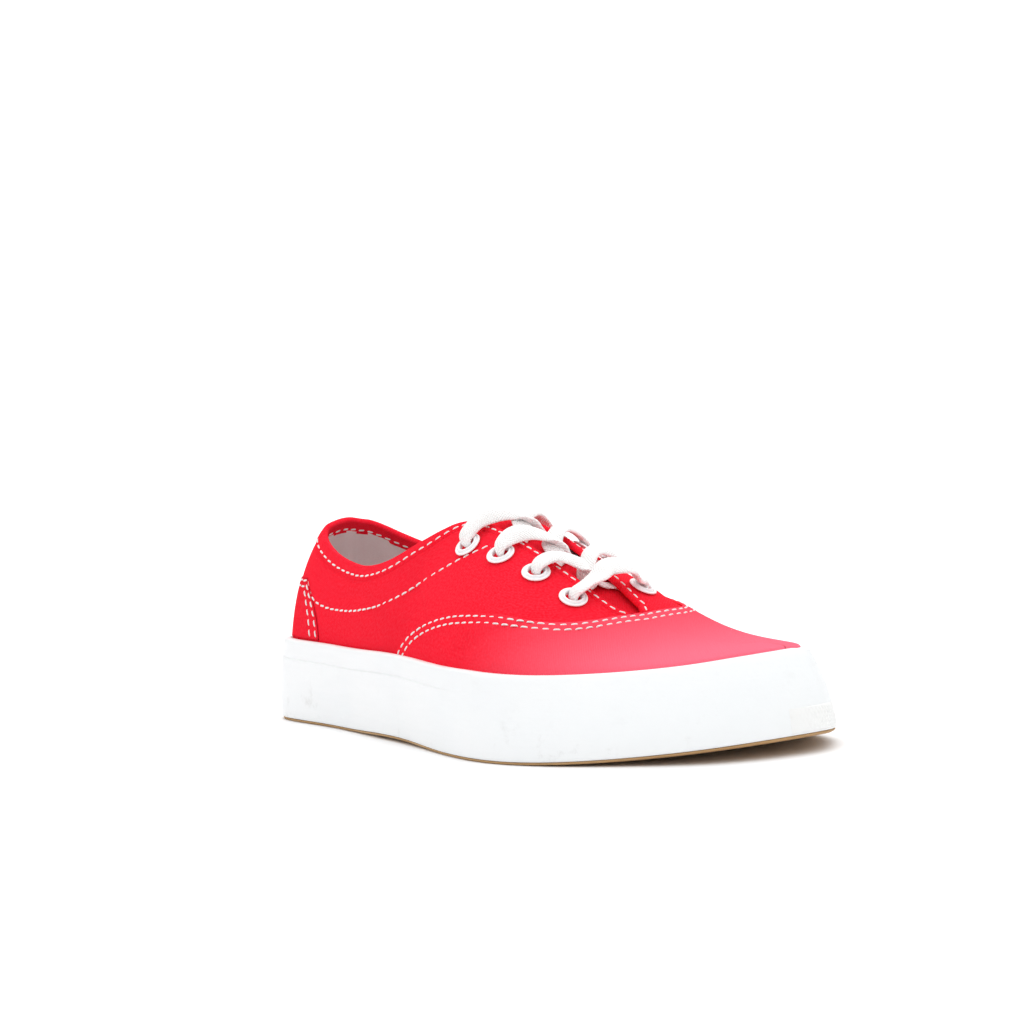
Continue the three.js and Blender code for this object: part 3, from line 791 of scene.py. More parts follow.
def canvas_upper():
    """The quarters and what runs on under the vamp: one canvas wall with a folded hem round its open edge."""
    row = hem_row(upper_place)[:, None]
    border = row + HEM["beyond"]
    hem = HEM["high"] * (1 - smooth(border - 0.25, border + 0.25, upper_distance))
    sewn = HEM["trough"] * trough(upper_distance, row, HEM["wide"])
    groove = HEM["groove"] * trough(upper_distance, border + HEM["wide"], HEM["wide"])
    soft = bumps(upper_points) * smooth(*CREASE_FADE, upper_distance)
    lined = smooth(*LINING_SPAN, upper_distance)
    low = -CANVAS * (1 - lined) - SINGLE_CANVAS * lined + soft
    outer, inner = rounded(upper_distance, HEM["roll"], hem - sewn - groove + soft, low)
    faces = grid_faces(*upper_rises.shape, closed=True)[:, ::-1]
    sheet = upper_points, upper_normals, faces, inner, outer
    cloth = both_ways(cloth_map(upper_stations, upper_points))
    new_cloth("canvas_upper", sheet, canvas_look, "red_canvas", cloth, ["upper"])


def lining():
    """The cotton lining inside the canvas, with soft upright wrinkles, from under the hem to the footbed."""
    columns = upper_stations[::2]
    rises = upper_rises[::2, LINING_ROW:]
    points = skin(columns[:, None], rises)
    normals = ridge_normals(skin_normal(columns[:, None], rises), from_heel(columns) >= THROAT_END)
    cloth = cloth_map(columns, points)
    turn = TURN * cloth[..., 0] / (cloth[-1, 0, 0] + cloth[1, 0, 0])
    slope = cloth[..., 1] / 9.0
    wrinkle = 0.34 * np.sin(29 * turn + 1.5 * np.sin(5 * turn) + slope) + 0.16 * np.sin(53 * turn - slope + 2)
    wrinkle = wrinkle * smooth(0, 0.3, upper_edge[::2, None] - rises)
    faces = grid_faces(*rises.shape, closed=True)[:, ::-1]
    sheet = points, normals, faces, -CANVAS + wrinkle, -SINGLE_CANVAS - 0.12
    new_cloth("lining", sheet, lining_look, "lining", both_ways(cloth))


VAMP = dict(high=0.85, low=0.08, roll=0.38, rows=(1.3, 3.8), trough=0.13, turned=0.12)
VAMP_ROWS = (0, 0.04, 0.12, 0.24, 0.38, 0.6, 0.9, 1.15, 1.3, 1.45, 1.75, 2.2, 2.8)
VAMP_ROWS += (3.3, 3.6, 3.8, 4.0, 4.4, 5.2, 6.4)
vamp_spans = ((4.62, 5.4, 34), (5.4, 7.4, 70), (7.4, 7.86, 60), (7.86, 8.1, 26), (8.1, HALF, 76))
vamp_lateral = side_stations(*vamp_spans)
vamp_stations = np.concatenate([vamp_lateral, ROUND - vamp_lateral[:-1][::-1]])
vamp_place = from_heel(vamp_stations)
vamp_edge = np.interp(vamp_place, *soft_line(SEAM, 400, 0.5))
vamp_edge = np.where(vamp_place >= SEAM_END, 1.0, np.clip(vamp_edge, 0.001, 1))


def vamp_grid():
    """Rises, points and normals: close rows by the vamp's edge, and even ones round the toe."""
    steps = np.array(VAMP_ROWS)
    share = np.linspace(1, 0, 61)
    length = run_length(skin(vamp_stations[:, None], vamp_edge[:, None] * share), axis=1)
    even = np.linspace(0, steps[-1], len(steps))
    spaced = steps + (even - steps) * smooth(8.0, 8.8, vamp_place)[:, None]
    near = np.minimum(spaced, spaced / steps[-1] * length[:, -1:] * 0.6)
    rises = np.array([edge * np.interp(near[k], length[k], share) for k, edge in enumerate(vamp_edge)])
    main = rises[:, -1:] * (1 - np.linspace(0, 1, 23)[1:])
    foot = np.broadcast_to((-0.1, -0.25), (len(rises), 2))
    rises = np.concatenate([rises, main, foot], 1)
    points = skin(vamp_stations[:, None], rises)
    normals = skin_normal(vamp_stations[:, None], rises)
    normals = ridge_normals(normals, vamp_place >= SEAM_END, wrapped=False)
    # The ridge stops short of the toe, so the cloth lies level round its end.
    level = smooth(9.2, 10.2, vamp_place)[:, None] * smooth(13.0, 5.0, run_length(points, axis=1))
    normals = unit(normals * (1 - level[..., None]) + np.array((0.02, 0.0, 1.0)) * level[..., None])
    return rises, points, normals


vamp_rises, vamp_points, vamp_normals = vamp_grid()
vamp_distance = distance_to(vamp_points, vamp_points[vamp_place <= SEAM_END, 0])


def vamp_across():
    """Millimetres across the vamp from its ridge, lateral negative."""
    share = np.linspace(0, 1, 41)
    length = run_length(skin(vamp_stations[:, None], 1 - share), axis=1)
    across = [np.interp(1 - np.clip(rises, 0, 1), share, length[k]) for k, rises in enumerate(vamp_rises)]
    side = np.where(vamp_stations < HALF, -1.0, 1.0)
    return np.array(across) * side[:, None]


def vamp_overlay():
    """The vamp: canvas laid over the quarters and down to the foxing, its edge turned and stitched twice."""
    troughs = sum(VAMP["trough"] * trough(vamp_distance, row, 0.38) for row in VAMP["rows"])
    soft = bumps(vamp_points)
    turned = VAMP["turned"] * (1 - smooth(4.4, 5.2, vamp_distance))
    high = VAMP["high"] + turned - troughs + soft
    outer, inner = rounded(vamp_distance, VAMP["roll"], high, VAMP["low"] + soft)
    sheet = vamp_points, vamp_normals, grid_faces(*vamp_rises.shape)[:, ::-1], inner, outer
    cloth = stack(vamp_points[..., 0], vamp_across(), 0 * vamp_distance)
    new_cloth("vamp_overlay", sheet, vamp_glare_look, "red_canvas", cloth)


canvas_upper()
lining()
vamp_overlay()


# ---------- the heel patch ----------
PATCH = dict(rows=(0.9, 3.0), high=0.36, low=0.02, roll=0.3, foot=0.006, trough=0.12)


def heel_patch():
    """A canvas patch round the back of the heel, its edge turned. Returns its grid of points and normals."""
    across = np.linspace(-1, 1, 141)[:, None]
    up = np.linspace(0, 1, 34)
    station = across * (COUNTER["wide_low"] + (COUNTER["wide_high"] - COUNTER["wide_low"]) * up**2)
    rise = PATCH["foot"] + (rise_at_height(station, COUNTER["top"]) - PATCH["foot"]) * up
    points = skin(station, rise)
    normals = skin_normal(station, rise)
    distance = distance_to(points, np.concatenate([points[0, :], points[:, -1], points[-1, ::-1]]))
    troughs = sum(PATCH["trough"] * trough(distance, row, 0.38) for row in PATCH["rows"])
    outer, inner = rounded(distance, PATCH["roll"], PATCH["high"] - troughs, PATCH["low"])
    sheet = points, normals, grid_faces(*rise.shape), inner, outer
    cloth = stack(run_length(points[:, 10])[:, None], points[..., 2], 0 * distance)
    new_cloth("heel_patch", sheet, canvas_look, "red_canvas", cloth, ["heel_counter"])
    return points, normals


heel_points, heel_normals = heel_patch()


# ---------- stitches ----------
STITCH = dict(length=2.5, pitch=3.5, radius=0.33, slant=0.10, dip=0.34)


def resample(line, pitch):
    """Places along a polyline, evenly spaced: fractional indices."""
    length = run_length(line)
    count = max(int(length[-1] / pitch), 1)
    return np.interp((np.arange(count) + 0.5) * length[-1] / count, length, np.arange(len(line)))


def pick(values, places):
    low = np.clip(np.floor(places).astype(int), 0, len(values) - 2)
    share = (places - low)[:, None]
    return values[low] * (1 - share) + values[low + 1] * share


def stitch_row(line, normals, lift):
    """Stitches along a line on the cloth, as little bars: points, faces and places on the thread."""
    places = resample(line, STITCH["pitch"])
    centre = pick(line, places)
    normal = unit(pick(normals, places))
    ahead, behind = np.minimum(places + 0.4, len(line) - 1), np.maximum(places - 0.4, 0)
    along = unit(pick(line, ahead) - pick(line, behind))
    slant = STITCH["slant"] * (1 + 0.4 * np.sin(places * 12.9))[:, None]
    along = unit(along + unit(np.cross(normal, along)) * slant)
    side = unit(np.cross(normal, along))
    t = np.array((-1, -0.9, -0.6, 0, 0.6, 0.9, 1))[:, None]
    girth = STITCH["radius"] * np.array((0.45, 0.8, 1, 1.05, 1, 0.8, 0.45))[:, None]
    angle = np.arange(8) * TURN / 8
    reach = t * STITCH["length"] / 2
    lifted = lift - STITCH["dip"] * t**4 + girth * 0.8 * np.sin(angle)
    rings = centre[:, None, None] + along[:, None, None] * reach[..., None]
    rings = rings + normal[:, None, None] * lifted[..., None]
    rings = rings + side[:, None, None] * (girth * np.cos(angle))[..., None]
    each = tube_faces(7, 8)
    faces = [[i + 56 * k for i in face] for k in range(len(centre)) for face in each]
    cloth = stack(reach, angle * 0.3, 0.0).reshape(-1, 3)
    return rings.reshape(-1, 3), faces, np.tile(cloth, (len(centre), 1))


def stitches(name, rows):
    points, faces = joined([row[:2] for row in rows])
    cloth = np.concatenate([row[2] for row in rows])
    new_piece(name, points, faces, stitch_look, "white_cotton", cloth, weld=False)


def level_line(points, normals, distance, values, columns):
    """Where a grid's distance from its edge first reaches a column's value, a point for each column."""
    line, facing = [], []
    for k in columns:
        row = int(np.argmax(distance[k] >= values[k]))
        if row == 0:
            continue
        low, high = distance[k, row - 1 : row + 1]
        share = (values[k] - low) / max(high - low, 1e-6)
        line.append(points[k, row - 1] * (1 - share) + points[k, row] * share)
        facing.append(normals[k, row - 1] * (1 - share) + normals[k, row] * share)
    return np.array(line), unit(np.array(facing))


def hem_stitches():
    """The row round the collar and down both sides of the throat, outside and inside."""
    line, facing = level_line(upper_points, upper_normals, upper_distance, hem_row(upper_place), open_columns)
    return [stitch_row(line, facing, HEM["high"] - 0.10), stitch_row(line, -facing, CANVAS - 0.02)]


QUARTER = table(
    "station high",
    (2.00, 47.6),
    (2.10, 45.4),
    (2.28, 41.9),
    (2.50, 39.5),
    (3.00, 38.3),
    (3.73, 40.3),
    (4.33, 44.3),
    (4.75, 50.1),
    (5.12, 56.0),
    (5.48, 60.7),
    (5.72, 63.6),
)


def quarter_stitches(side):
    """The lining's row across the quarter, from the heel patch up to the eyelets."""
    stations, heights = soft_line(QUARTER, 260, 0.6)
    places = on_side(stations, side)
    rises = rise_at_height(places, heights)
    return stitch_row(skin(places, rises), skin_normal(places, rises), 0.02)


def vamp_stitches():
    """Two rows along the vamp overlay's edge."""
    columns = [k for k in range(len(vamp_stations)) if vamp_place[k] <= 8.7]
    values = [np.full(len(vamp_stations), row) for row in VAMP["rows"]]
    lines = [level_line(vamp_points, vamp_normals, vamp_distance, value, columns) for value in values]
    return [stitch_row(line, facing, VAMP["high"] + 0.06) for line, facing in lines]


def patch_stitches():
    """Two rows inside the heel patch's edge, down both sides and across its top."""
    rows = []
    columns, levels = heel_points.shape[:2]
    length = run_length(heel_points[:, levels // 2])[-1]
    high = run_length(heel_points[columns // 2])[-1]
    for inset in PATCH["rows"]:
        i = inset / length * (columns - 1)
        j = levels - 1 - inset / high * (levels - 1)
        down = np.linspace(0.6, j, 40)
        over = np.linspace(i, columns - 1 - i, 160)
        path_i = np.concatenate([np.full(40, i), over, np.full(40, columns - 1 - i)])
        path_j = np.concatenate([down, np.full(160, j), down[::-1]])
        line = grid_pick(heel_points, path_i, path_j)
        rows.append(stitch_row(line, unit(grid_pick(heel_normals, path_i, path_j)), PATCH["high"] + 0.06))
    return rows


def grid_pick(grid, i, j):
    low_i = np.clip(np.floor(i).astype(int), 0, grid.shape[0] - 2)
    low_j = np.clip(np.floor(j).astype(int), 0, grid.shape[1] - 2)
    u, v = (i - low_i)[:, None], (j - low_j)[:, None]
    low = grid[low_i, low_j] * (1 - v) + grid[low_i, low_j + 1] * v
    high = grid[low_i + 1, low_j] * (1 - v) + grid[low_i + 1, low_j + 1] * v
    return low * (1 - u) + high * u


stitches("stitches_hem", hem_stitches())
stitches("stitches_quarter", [quarter_stitches(-1), quarter_stitches(1)])
stitches("stitches_vamp", vamp_stitches())
stitches("stitches_heel", patch_stitches())


# ---------- rubber ----------
# The upper strip is set back by lap, until the strips are flush, and they meet at line below the top edge.
TAPE = dict(lap=0.36, ends=(4.6, 7.2), line=6.0)


def foxing_tape():
    """The foxing: its lower strip laps over the upper one at the back, and its top edge is rounded."""
    station = halves(np.linspace(0, HALF, 241))
    place = from_heel(station)
    top = foxing_height(station)
    lap = TAPE["lap"] * (1 - smooth(*TAPE["ends"], place))
    line = TAPE["line"] + 0.9 * smooth(0, 4, place)
    foot = OUTSOLE_RIM + GAP
    wave = 0.05 * np.sin(station * 9.1) + 0.04 * np.sin(station * 23.7 + 1)
    # The section's outline: (height over the underside, depth in from the outer face).
    rows = [(foot - 0.2, 0.6), (foot - 0.08, 0.22), (foot + 0.2, 0.04), (foot + 0.9, 0.0)]
    rows += [(foot + 0.9 + (top - line - 1.2 - foot - 0.9) * part, 0.0) for part in (0.25, 0.5, 0.75, 1)]
    rows += [(top - line - 0.4, 0.0), (top - line - 0.15, 0.05 * lap), (top - line, 0.35 * lap)]
    rows += [(top - line + 0.08, 1.15 * lap), (top - line + 0.3, 1.25 * lap), (top - line + 0.6, lap)]
    rows += [(top - line + 2, lap), (top - 2.6, lap), (top - 1.3, lap), (top - 0.85, lap + 0.06)]
    rows += [(top - 0.5, lap + 0.2), (top - 0.22, lap + 0.44), (top - 0.06, lap + 0.74), (top, lap + 1.1)]
    rows += [(top, 2.2), (top - 0.1, 2.9)]
    rows += [(height, FOXING_WALL) for height in (top - 0.8, top - 6, foot + 4, foot - 0.2)]
    heights, depths = (np.stack(np.broadcast_arrays(station, *column)[1:], 1) for column in zip(*rows))
    bulge = wave[:, None] * np.sin(np.pi * np.clip((heights - foot) / (top[:, None] - foot), 0, 1))
    points = wall(station[:, None], heights, depths + bulge * (depths < 1))
    faces = grid_faces(len(station), len(rows), closed=True, looped=True)
    new_piece("foxing_tape", points.reshape(-1, 3), faces, foxing_look, "white_rubber", replaces=["foxing"])


BAR_PITCH = 1.5


def toe_strip():
    """The bumper: a thin strip on the foxing round the toe, with rows of small bars."""
    across = np.linspace(0, 1, 421)
    up = np.linspace(0, 1, 33)
    station = (BUMPER["start"] + (BUMPER["end"] - BUMPER["start"]) * across)[:, None]
    part = BUMPER["low"] + (BUMPER["high"] - BUMPER["low"]) * up[None, :]
    points = wall(station, foxing_height(station) * part, 0.0)
    out_x, out_y = outward(station)
    normals = np.broadcast_to(stack(out_x, out_y, 0 * out_x), points.shape)
    length = run_length(points[:, 16])[:, None]
    high = (foxing_height(station) * (BUMPER["high"] - BUMPER["low"])) * up
    edge = np.minimum(np.minimum(length, length[-1] - length) * 0.5, np.minimum(high, high[:, -1:] - high))
    row = np.floor(high / BAR_PITCH)
    bars = np.sin(TURN * (length / BAR_PITCH + 0.5 * (row % 2))) * np.abs(np.sin(np.pi * high / BAR_PITCH))
    ends = smooth(0, 22, np.minimum(length, length[-1] - length))
    outer = 0.03 + (BUMPER["thick"] - 0.4) * ends + 0.22 * bars * smooth(0.4, 1.0, edge) * ends
    outer = 0.03 + (outer - 0.03) * np.sqrt(1 - (1 - np.clip(edge / 0.6, 0, 1)) ** 2)
    body, faces = thick_sheet(points, normals, grid_faces(len(across), len(up)), -0.4, outer)
    new_piece("toe_strip", body, faces, bumper_look, "white_rubber", replaces=["toe_bumper"])


def slab(stations, levels):
    """A closed slab: level by level round the outline, capped below and above by its last and first rungs."""
    count = len(stations)
    faces = []
    for row in range(len(levels) - 1):
        a = row * count + np.arange(count)
        b = row * count + (np.arange(count) + 1) % count
        faces += np.stack([a, b, b + count, a + count], 1).tolist()
    top = (len(levels) - 1) * count
    for i in range(count // 2):
        mirror, before = (count - i) % count, (count - i - 1) % count
        rung = list(dict.fromkeys((i, mirror, before, i + 1)))
        if len(rung) > 2:
            faces.append(rung)
            faces.append([top + k for k in rung[::-1]])
    return np.concatenate(levels), faces


TREAD = dict(pitch=5.4, zigzag=12.0, deep=0.85, margin=(3.2, 4.2), gap=((92, 96), (112, 116)))


def gum_sole():
    """The outsole: a rounded rim, and a tread of fine zigzag ribs inside it, with a smooth waist."""
    lateral = np.linspace(0, HALF, 261)
    across = np.linspace(-1, 1, 93)
    low = wall(lateral, 0.0, OUTSOLE_RIM_INSET + 0.35)
    high = wall(ROUND - lateral, 0.0, OUTSOLE_RIM_INSET + 0.35)
    middle, reach = (low + high) / 2, (high - low) / 2
    points = middle[:, None] + reach[:, None] * across[None, :, None]
    x, y = points[..., 0], points[..., 1]
    width = np.linalg.norm(reach, axis=-1)[:, None]
    margin = np.minimum((1 - np.abs(across)) * width, np.minimum(x - x.min(), x.max() - x))
    zigzag = np.abs(np.mod(y, TREAD["zigzag"]) - TREAD["zigzag"] / 2) * 0.8
    rib = smooth(0.25, 0.55, np.sin(TURN * (x + zigzag) / TREAD["pitch"]))
    begin, end = TREAD["gap"]
    ribbed = 1 - smooth(*begin, x) * (1 - smooth(*end, x))
    cut = TREAD["deep"] * rib * smooth(*TREAD["margin"], margin) * ribbed
    points[..., 2] = underside(x) + cut + 0.25 * (1 - smooth(0, 0.8, margin))
    lifted = stack(x, y, underside(x) + OUTSOLE_RIM)
    base = grid_faces(len(lateral), len(across))[:, ::-1]
    count = x.size
    edge = open_edges(base)
    sides = np.stack([edge[:, 1], edge[:, 0], edge[:, 1] + count, edge[:, 0] + count], 1)
    faces = np.concatenate([base, base[:, ::-1] + count, sides])
    tread = np.concatenate([points, lifted]).reshape(-1, 3), faces
    station = halves(np.linspace(0, HALF, 121))
    rim, inset = OUTSOLE_RIM, OUTSOLE_RIM_INSET
    core = [(rim - 0.1, FOXING_WALL + GAP), (OUTSOLE_THICK, FOXING_WALL + GAP)]
    skirt = [(0.1, 1.0), (0.25, 0.7), (0.45, inset), (rim - 0.15, inset), (rim, 0.7)]
    slabs = [slab(station, [wall(station, *level) for level in levels]) for levels in (core, skirt)]
    new_piece("gum_sole", *joined([tread, *slabs]), gum_look, "gum_rubber", replaces=["outsole"])


def footbed():
    """The cloth-covered footbed inside, with a soft edge."""
    station = halves(np.linspace(0, HALF, 121))
    foot = OUTSOLE_THICK + GAP
    profile = [(0, 6.0), (0.4, 5.6), (2.2, 5.6), (2.9, 5.9), (INSOLE_THICK, 6.8)]
    levels = [wall(station, foot + height, inset) for height, inset in profile]
    points, faces = slab(station, levels)
    cloth = points - points.min(0)
    new_piece("footbed", points, faces, footbed_look, "lining", cloth, ["insole"])


foxing_tape()
toe_strip()
gum_sole()
footbed()


# ---------- tongue, eyelets and lace ----------
def over_skin(place, side, distance, lift):
    """A point over the skin at a distance from the ridge, raised along the normal."""
    station = np.array(float(on_side(place, side)))
    rise = rise_at_gap(station, distance)
    return skin(station, rise) + skin_normal(station, np.minimum(rise, 0.985)) * lift


def tongue():
    """The tongue under the throat, with a hemmed top edge and a slight crown."""
    along = np.linspace(0, 1, 90)
    across = np.linspace(-1, 1, 61)
    place = (TONGUE["start"] + (TONGUE["end"] - TONGUE["start"]) * along)[:, None] + 0 * across
    side_station = np.where(across[None, :] < 0, place, ROUND - place)
    distance = np.maximum(TONGUE["half"] * np.abs(across), 0.05)[None, :] + 0 * place
    rise = rise_at_gap(side_station, distance)
    points = skin(side_station, rise)
    normals = skin_normal(side_station, np.minimum(rise, 0.985))
    middle = len(across) // 2
    normals[:, middle] = unit(normals[:, middle - 1] + normals[:, middle + 1])
    far = distance_to(points, np.concatenate([points[:, 0], points[0, :], points[:, -1]]))
    hem = 0.25 * (1 - smooth(4.6, 5.2, far))
    ripple = 0.12 * np.sin(points[..., 0] / 4.1) * np.sin(points[..., 1] / 5 + 1)
    outer, inner = rounded(far, 0.8, -TONGUE["below"] + hem * 0.4 + ripple, -TONGUE["below"] - 1.9)
    sheet = points, normals, grid_faces(len(along), len(across)), inner, outer
    cloth = stack(points[..., 0], distance * np.sign(across)[None, :], 0 * distance)
    new_cloth("tongue_cloth", sheet, tongue_look, "red_canvas", cloth, ["tongue"])


# A ring's section as a closed loop: (radius, height over the cloth).
EYELET_PROFILE = (
    (2.75, -1.9),
    (2.60, -1.0),
    (2.60, 0.7),
    (2.64, 1.1),
    (2.82, 1.42),
    (3.10, 1.58),
    (3.38, 1.55),
    (3.58, 1.36),
    (3.68, 1.10),
    (3.74, 0.88),
    (3.86, 0.82),
    (3.98, 0.94),
    (4.22, 1.02),
    (4.48, 0.98),
    (4.66, 0.82),
    (4.72, 0.58),
    (4.62, 0.44),
    (3.00, 0.44),
    (2.95, -1.9),
)


EYELET_SIDES = 56


def eyelet(row, side):
    """An enamelled ring, turned about its own axis and set square on the cloth."""
    station = np.array(float(on_side(EYELETS["station"][row], side)))
    rise = rise_at_gap(station, EYELETS["out"][row])
    centre, normal = skin(station, rise), skin_normal(station, rise)
    ahead = unit(np.cross(np.cross(normal, (1.0, 0.0, 0.0)), normal))
    axes = np.stack([ahead, np.cross(normal, ahead), normal])
    angles = np.arange(EYELET_SIDES) * TURN / EYELET_SIDES
    turned = np.array([[r * np.cos(a), r * np.sin(a), h] for a in angles for r, h in EYELET_PROFILE])
    faces = grid_faces(EYELET_SIDES, len(EYELET_PROFILE), closed=True, looped=True)
    where = "outer" if side < 0 else "inner"
    name, replaced = f"ring_{where}{row + 1}", [f"eyelet_{where}_{row + 1}"]
    new_piece(name, centre + turned @ axes, faces, enamel_look, "eyelet_metal", replaces=replaced)


tongue()
for eyelet_row in range(4):
    eyelet(eyelet_row, -1)
    eyelet(eyelet_row, 1)


LACE = dict(half=3.35, thin=0.95)
OVER_EYELET = 3.3


def through_eyelet(row, side, inside_first):
    """Stops through an eyelet, each (place, side, distance, lift, half width, half thickness)."""
    place, out = EYELETS["station"][row], EYELETS["out"][row]
    stops = [
        (place, side, out - 5.5, -2.45, 2.2, 0.5),
        (place, side, out - 2.4, -2.5, 2.0, 0.6),
        (place, side, out - 0.3, -1.2, 1.85, 0.95),
        (place, side, out + 0.2, 0.9, 1.9, 1.0),
        (place, side, out - 0.6, 2.7, 2.4, 1.0),
        (place, side, out - 3.2, OVER_EYELET, 2.9, LACE["thin"]),
    ]
    return stops if inside_first else stops[::-1]


def crossing_out(top, side):
    """From eyelet top on one side, over the throat's edge and down into the gap under the other side's edge.

    The strand of the outer eyelet passes over the strand of the inner one where they cross.
    """
    high, low = EYELETS["station"][top], EYELETS["station"][top + 1]
    half, thin = LACE["half"], LACE["thin"]
    over = 1.0 if side < 0 else 0.0

    def stop(share, which, distance, lift, wide, thick):
        return high + share * (low - high), which, distance, lift, half * wide, thick

    edge = throat_half(high)
    dive = 0.68 if top == 2 else 0.82
    room = throat_half(high + dive * (low - high)) - 3.4 - 1.0
    return [
        stop(0.04, side, edge + 2.0, 3.1, 0.95, thin),
        stop(0.18, side, edge * 0.70, 2.4, 1.0, thin),
        stop(0.44, side, 0.3, 1.5 * over - 0.3, 1.0, thin),
        stop(dive - 0.14, -side, room * 0.55, 1.2 * over - 0.9, 1.0, thin),
        stop(dive, -side, room, 0.6 * over - 1.7, 0.85, thin * 0.8),
        stop(dive + 0.06, -side, room + 2.6, -2.35, 0.72, 0.55),
        stop(dive + 0.12, -side, edge + 1.5, -2.45, 0.66, 0.5),
    ]


def bar_stops():
    """Over the top of the lowest row: up steeply from the outer eyelet, and down again to the inner one."""
    place = EYELETS["station"][3]
    inner = throat_half(place)
    half, thin = LACE["half"], LACE["thin"]
    return [
        (place - 0.02, -1, inner + 3.5, 3.5, half * 0.95, thin),
        (place - 0.05, -1, inner * 0.6, 4.4, half * 1.15, thin),
        (place - 0.09, 1, 0.6, 6.0, half * 1.25, thin),
        (place - 0.07, 1, inner * 0.9, 6.8, half * 1.15, thin),
        (place - 0.02, 1, inner + 3.5, 6.0, half * 0.95, thin),
    ]


def lace_stops():
    """The whole lace: from its end under the top outer eyelet to its end under the top inner one."""
    stops = []
    for row, side in ((0, -1), (1, 1), (2, -1)):
        stops += through_eyelet(row, side, inside_first=True)
        stops += crossing_out(row, side)
    stops += through_eyelet(3, 1, inside_first=True)
    stops += bar_stops()[::-1]
    stops += through_eyelet(3, -1, inside_first=False)
    for row, side in ((2, 1), (1, -1), (0, 1)):
        stops += crossing_out(row, side)[::-1]
        stops += through_eyelet(row, side, inside_first=False)
    return stops


def carried(t, start, end, one, two):
    """From one at start to two at end, at t between them."""
    return (end - t) / (end - start) * one + (t - start) / (end - start) * two


def catmull(points, steps):
    """A centripetal curve through points, each span cut into steps."""
    padded = np.concatenate([2 * points[:1] - points[1:2], points, 2 * points[-1:] - points[-2:-1]])
    spans = []
    for k in range(len(points) - 1):
        p = padded[k : k + 4]
        gaps = np.maximum(np.linalg.norm(np.diff(p[:, :3], axis=0), axis=1), 1e-4)
        knots = np.concatenate([[0], np.cumsum(gaps**0.5)])
        t = np.linspace(knots[1], knots[2], steps, endpoint=False)[:, None]
        a = [carried(t, knots[i], knots[i + 1], p[i], p[i + 1]) for i in range(3)]
        b = [carried(t, knots[i], knots[i + 2], a[i], a[i + 1]) for i in range(2)]
        spans.append(carried(t, knots[1], knots[2], *b))
    return np.concatenate([*spans, points[-1:]])


def lace_path():
    """Even steps along the lace, and at each its middle, its width's direction, and its two half sizes."""
    toe_ward = unit(np.array((ridge_x(8.0) - ridge_x(5.0), 0.0, ridge_z(8.0) - ridge_z(5.0))))
    rows = []
    for place, side, distance, lift, half, thin in lace_stops():
        rows.append(np.concatenate([over_skin(place, side, distance, lift), toe_ward, (half, thin)]))
    path = catmull(np.array(rows), 12)
    length = run_length(path[:, :3])
    even = np.linspace(0, length[-1], int(length[-1] / LACE_STEP))
    path = np.stack([np.interp(even, length, column) for column in path.T], 1)
    smoothing = np.array((1, 2, 3, 2, 1)) / 9
    for column in path.T:
        column[2:-2] = np.convolve(column, smoothing, "valid")
    return even, path


LACE_STEP = 0.55
LACE_SIDES = 24


def lace():
    """One flat lace with soft edges, a little twisted and uneven along its length."""
    even, path = lace_path()
    centre, across, half, thin = path[:, :3], path[:, 3:6], path[:, 6, None], path[:, 7, None]
    along = unit(np.gradient(centre, axis=0))
    across = unit(across - along * (across * along).sum(1, keepdims=True))
    twist = (0.20 * np.sin(even / 9.0) + 0.13 * np.sin(even / 4.1 + 1.0))[:, None]
    across = unit(across + np.cross(along, across) * twist)
    half = half * (1 + 0.04 * np.sin(even / 3.3) + 0.03 * np.sin(even / 1.9 + 2.0))[:, None]
    up = np.cross(across, along)
    angle = np.arange(LACE_SIDES) * TURN / LACE_SIDES
    flatten = np.sign(np.sin(angle)) * np.abs(np.sin(angle)) ** 0.8
    rings = centre[:, None] + across[:, None] * (half * np.cos(angle))[..., None]
    rings = rings + up[:, None] * (thin * flatten)[..., None]
    cloth = stack(even[:, None], half * np.cos(angle), 0.0).reshape(-1, 3)
    replaced = ["lace_bar", "lace_cross_1", "lace_cross_2", "lace_cross_3"]
    faces = tube_faces(len(even), LACE_SIDES)
    new_piece("lace", rings.reshape(-1, 3), faces, lace_look, "white_cotton", cloth, replaced)
    print("lace length in mm:", round(float(even[-1]), 1))


lace()


# ---------- stage, metres ----------
FLOOR_REACH = 20.0


def floor():
    """A pale plain floor that reaches past the view."""
    mesh = bpy.data.meshes.new("floor")
    corners = [(x * FLOOR_REACH, y * FLOOR_REACH, 0) for x, y in ((-1, -1), (1, -1), (1, 1), (-1, 1))]
    mesh.from_pydata(corners, [], [(0, 1, 2, 3)])
    plane = bpy.data.objects.new("floor", mesh)
    bpy.context.scene.collection.objects.link(plane)
    white = rgb(0.93, 0.93, 0.935)
    material = new_material("floor_white", 0.95, Base_Color=white, Specular_IOR_Level=0.1)[0]
    mesh.materials.append(material)


def area_light(name, place, aim, size, power):
    light = bpy.data.lights.new(name, "AREA")
    light.shape = "RECTANGLE"
    light.size, light.size_y = size
    light.energy = power
    lamp = bpy.data.objects.new(name, light)
    lamp.location = place
    lamp.rotation_euler = (Vector(aim) - Vector(place)).to_track_quat("-Z", "Y").to_euler()
    bpy.context.scene.collection.objects.link(lamp)


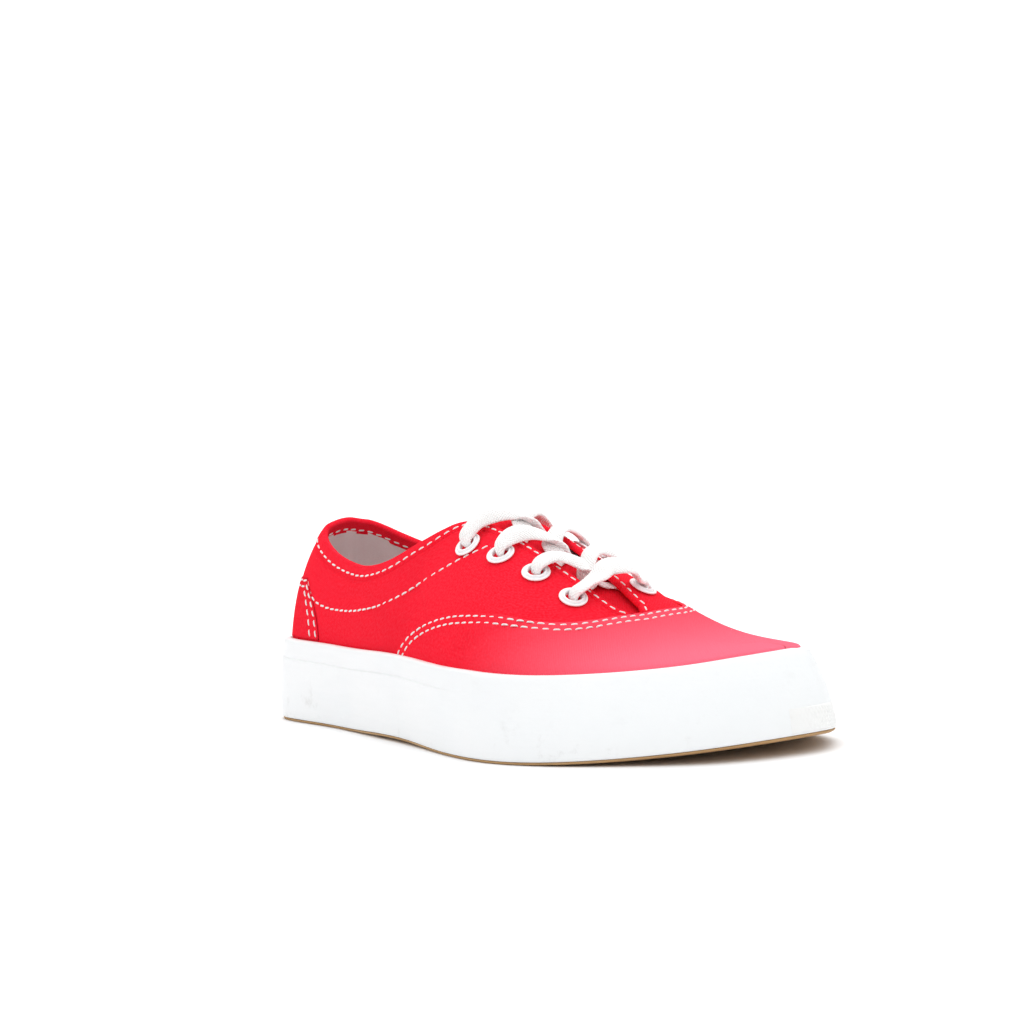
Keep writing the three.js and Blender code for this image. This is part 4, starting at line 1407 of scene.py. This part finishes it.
# The aim is in millimetres on the last, the turns in degrees, the distance in metres.
CAMERA = dict(aim=(110.2, -3.0, 71.8), turns=(39.80, 5.72, -3.29), distance=1.961, lens=213.05)


def camera():
    """Three quarters from the lateral side and a little above, rolled slightly."""
    aim = (np.array(CAMERA["aim"]) - ORIGIN) * MM
    yaw, pitch, roll = np.radians(CAMERA["turns"])
    right = np.array((np.sin(yaw), np.cos(yaw), 0.0))
    back = np.array((np.cos(yaw) * np.cos(pitch), -np.sin(yaw) * np.cos(pitch), np.sin(pitch)))
    up = np.cross(back, right)
    rolled_right = np.cos(roll) * right + np.sin(roll) * up
    rolled_up = -np.sin(roll) * right + np.cos(roll) * up
    place = aim + back * CAMERA["distance"]
    made = bpy.data.cameras.new("camera")
    made.lens = CAMERA["lens"]
    made.sensor_width = 36.0
    made.clip_end = 50.0
    view = bpy.data.objects.new("camera", made)
    turned = Matrix.Identity(4)
    for column, axis in enumerate((rolled_right, rolled_up, back, place)):
        for row in range(3):
            turned[row][column] = axis[row]
    view.matrix_world = turned
    bpy.context.scene.collection.objects.link(view)
    bpy.context.scene.camera = view


def world():
    """An overcast studio sky: brightest overhead, dim at the horizon."""
    sky = bpy.data.worlds.new("studio")
    bpy.context.scene.world = sky
    sky.use_nodes = True
    tree = sky.node_tree
    shade = tree.nodes["Background"]
    shade.inputs["Color"].default_value = (1.0, 1.0, 1.0, 1)
    generated = node(tree, "ShaderNodeTexCoord").outputs["Generated"]
    way = node(tree, "ShaderNodeSeparateXYZ", [(0, generated)])
    rise = maths(tree, "MAXIMUM", way.outputs[2], 0.0)
    tree.links.new(maths(tree, "MULTIPLY_ADD", rise, 1.26, 0.37), shade.inputs["Strength"])


floor()
area_light("softbox_top", (-0.45, 0.75, 1.05), (0.0, 0.0, 0.02), (1.3, 0.8), 5)
area_light("fill_front", (0.5, -1.5, 0.75), (0.0, 0.0, 0.04), (1.5, 1.0), 1.5)
world()
camera()
bpy.context.scene.view_settings.view_transform = "Standard"
bpy.context.view_layer.update()
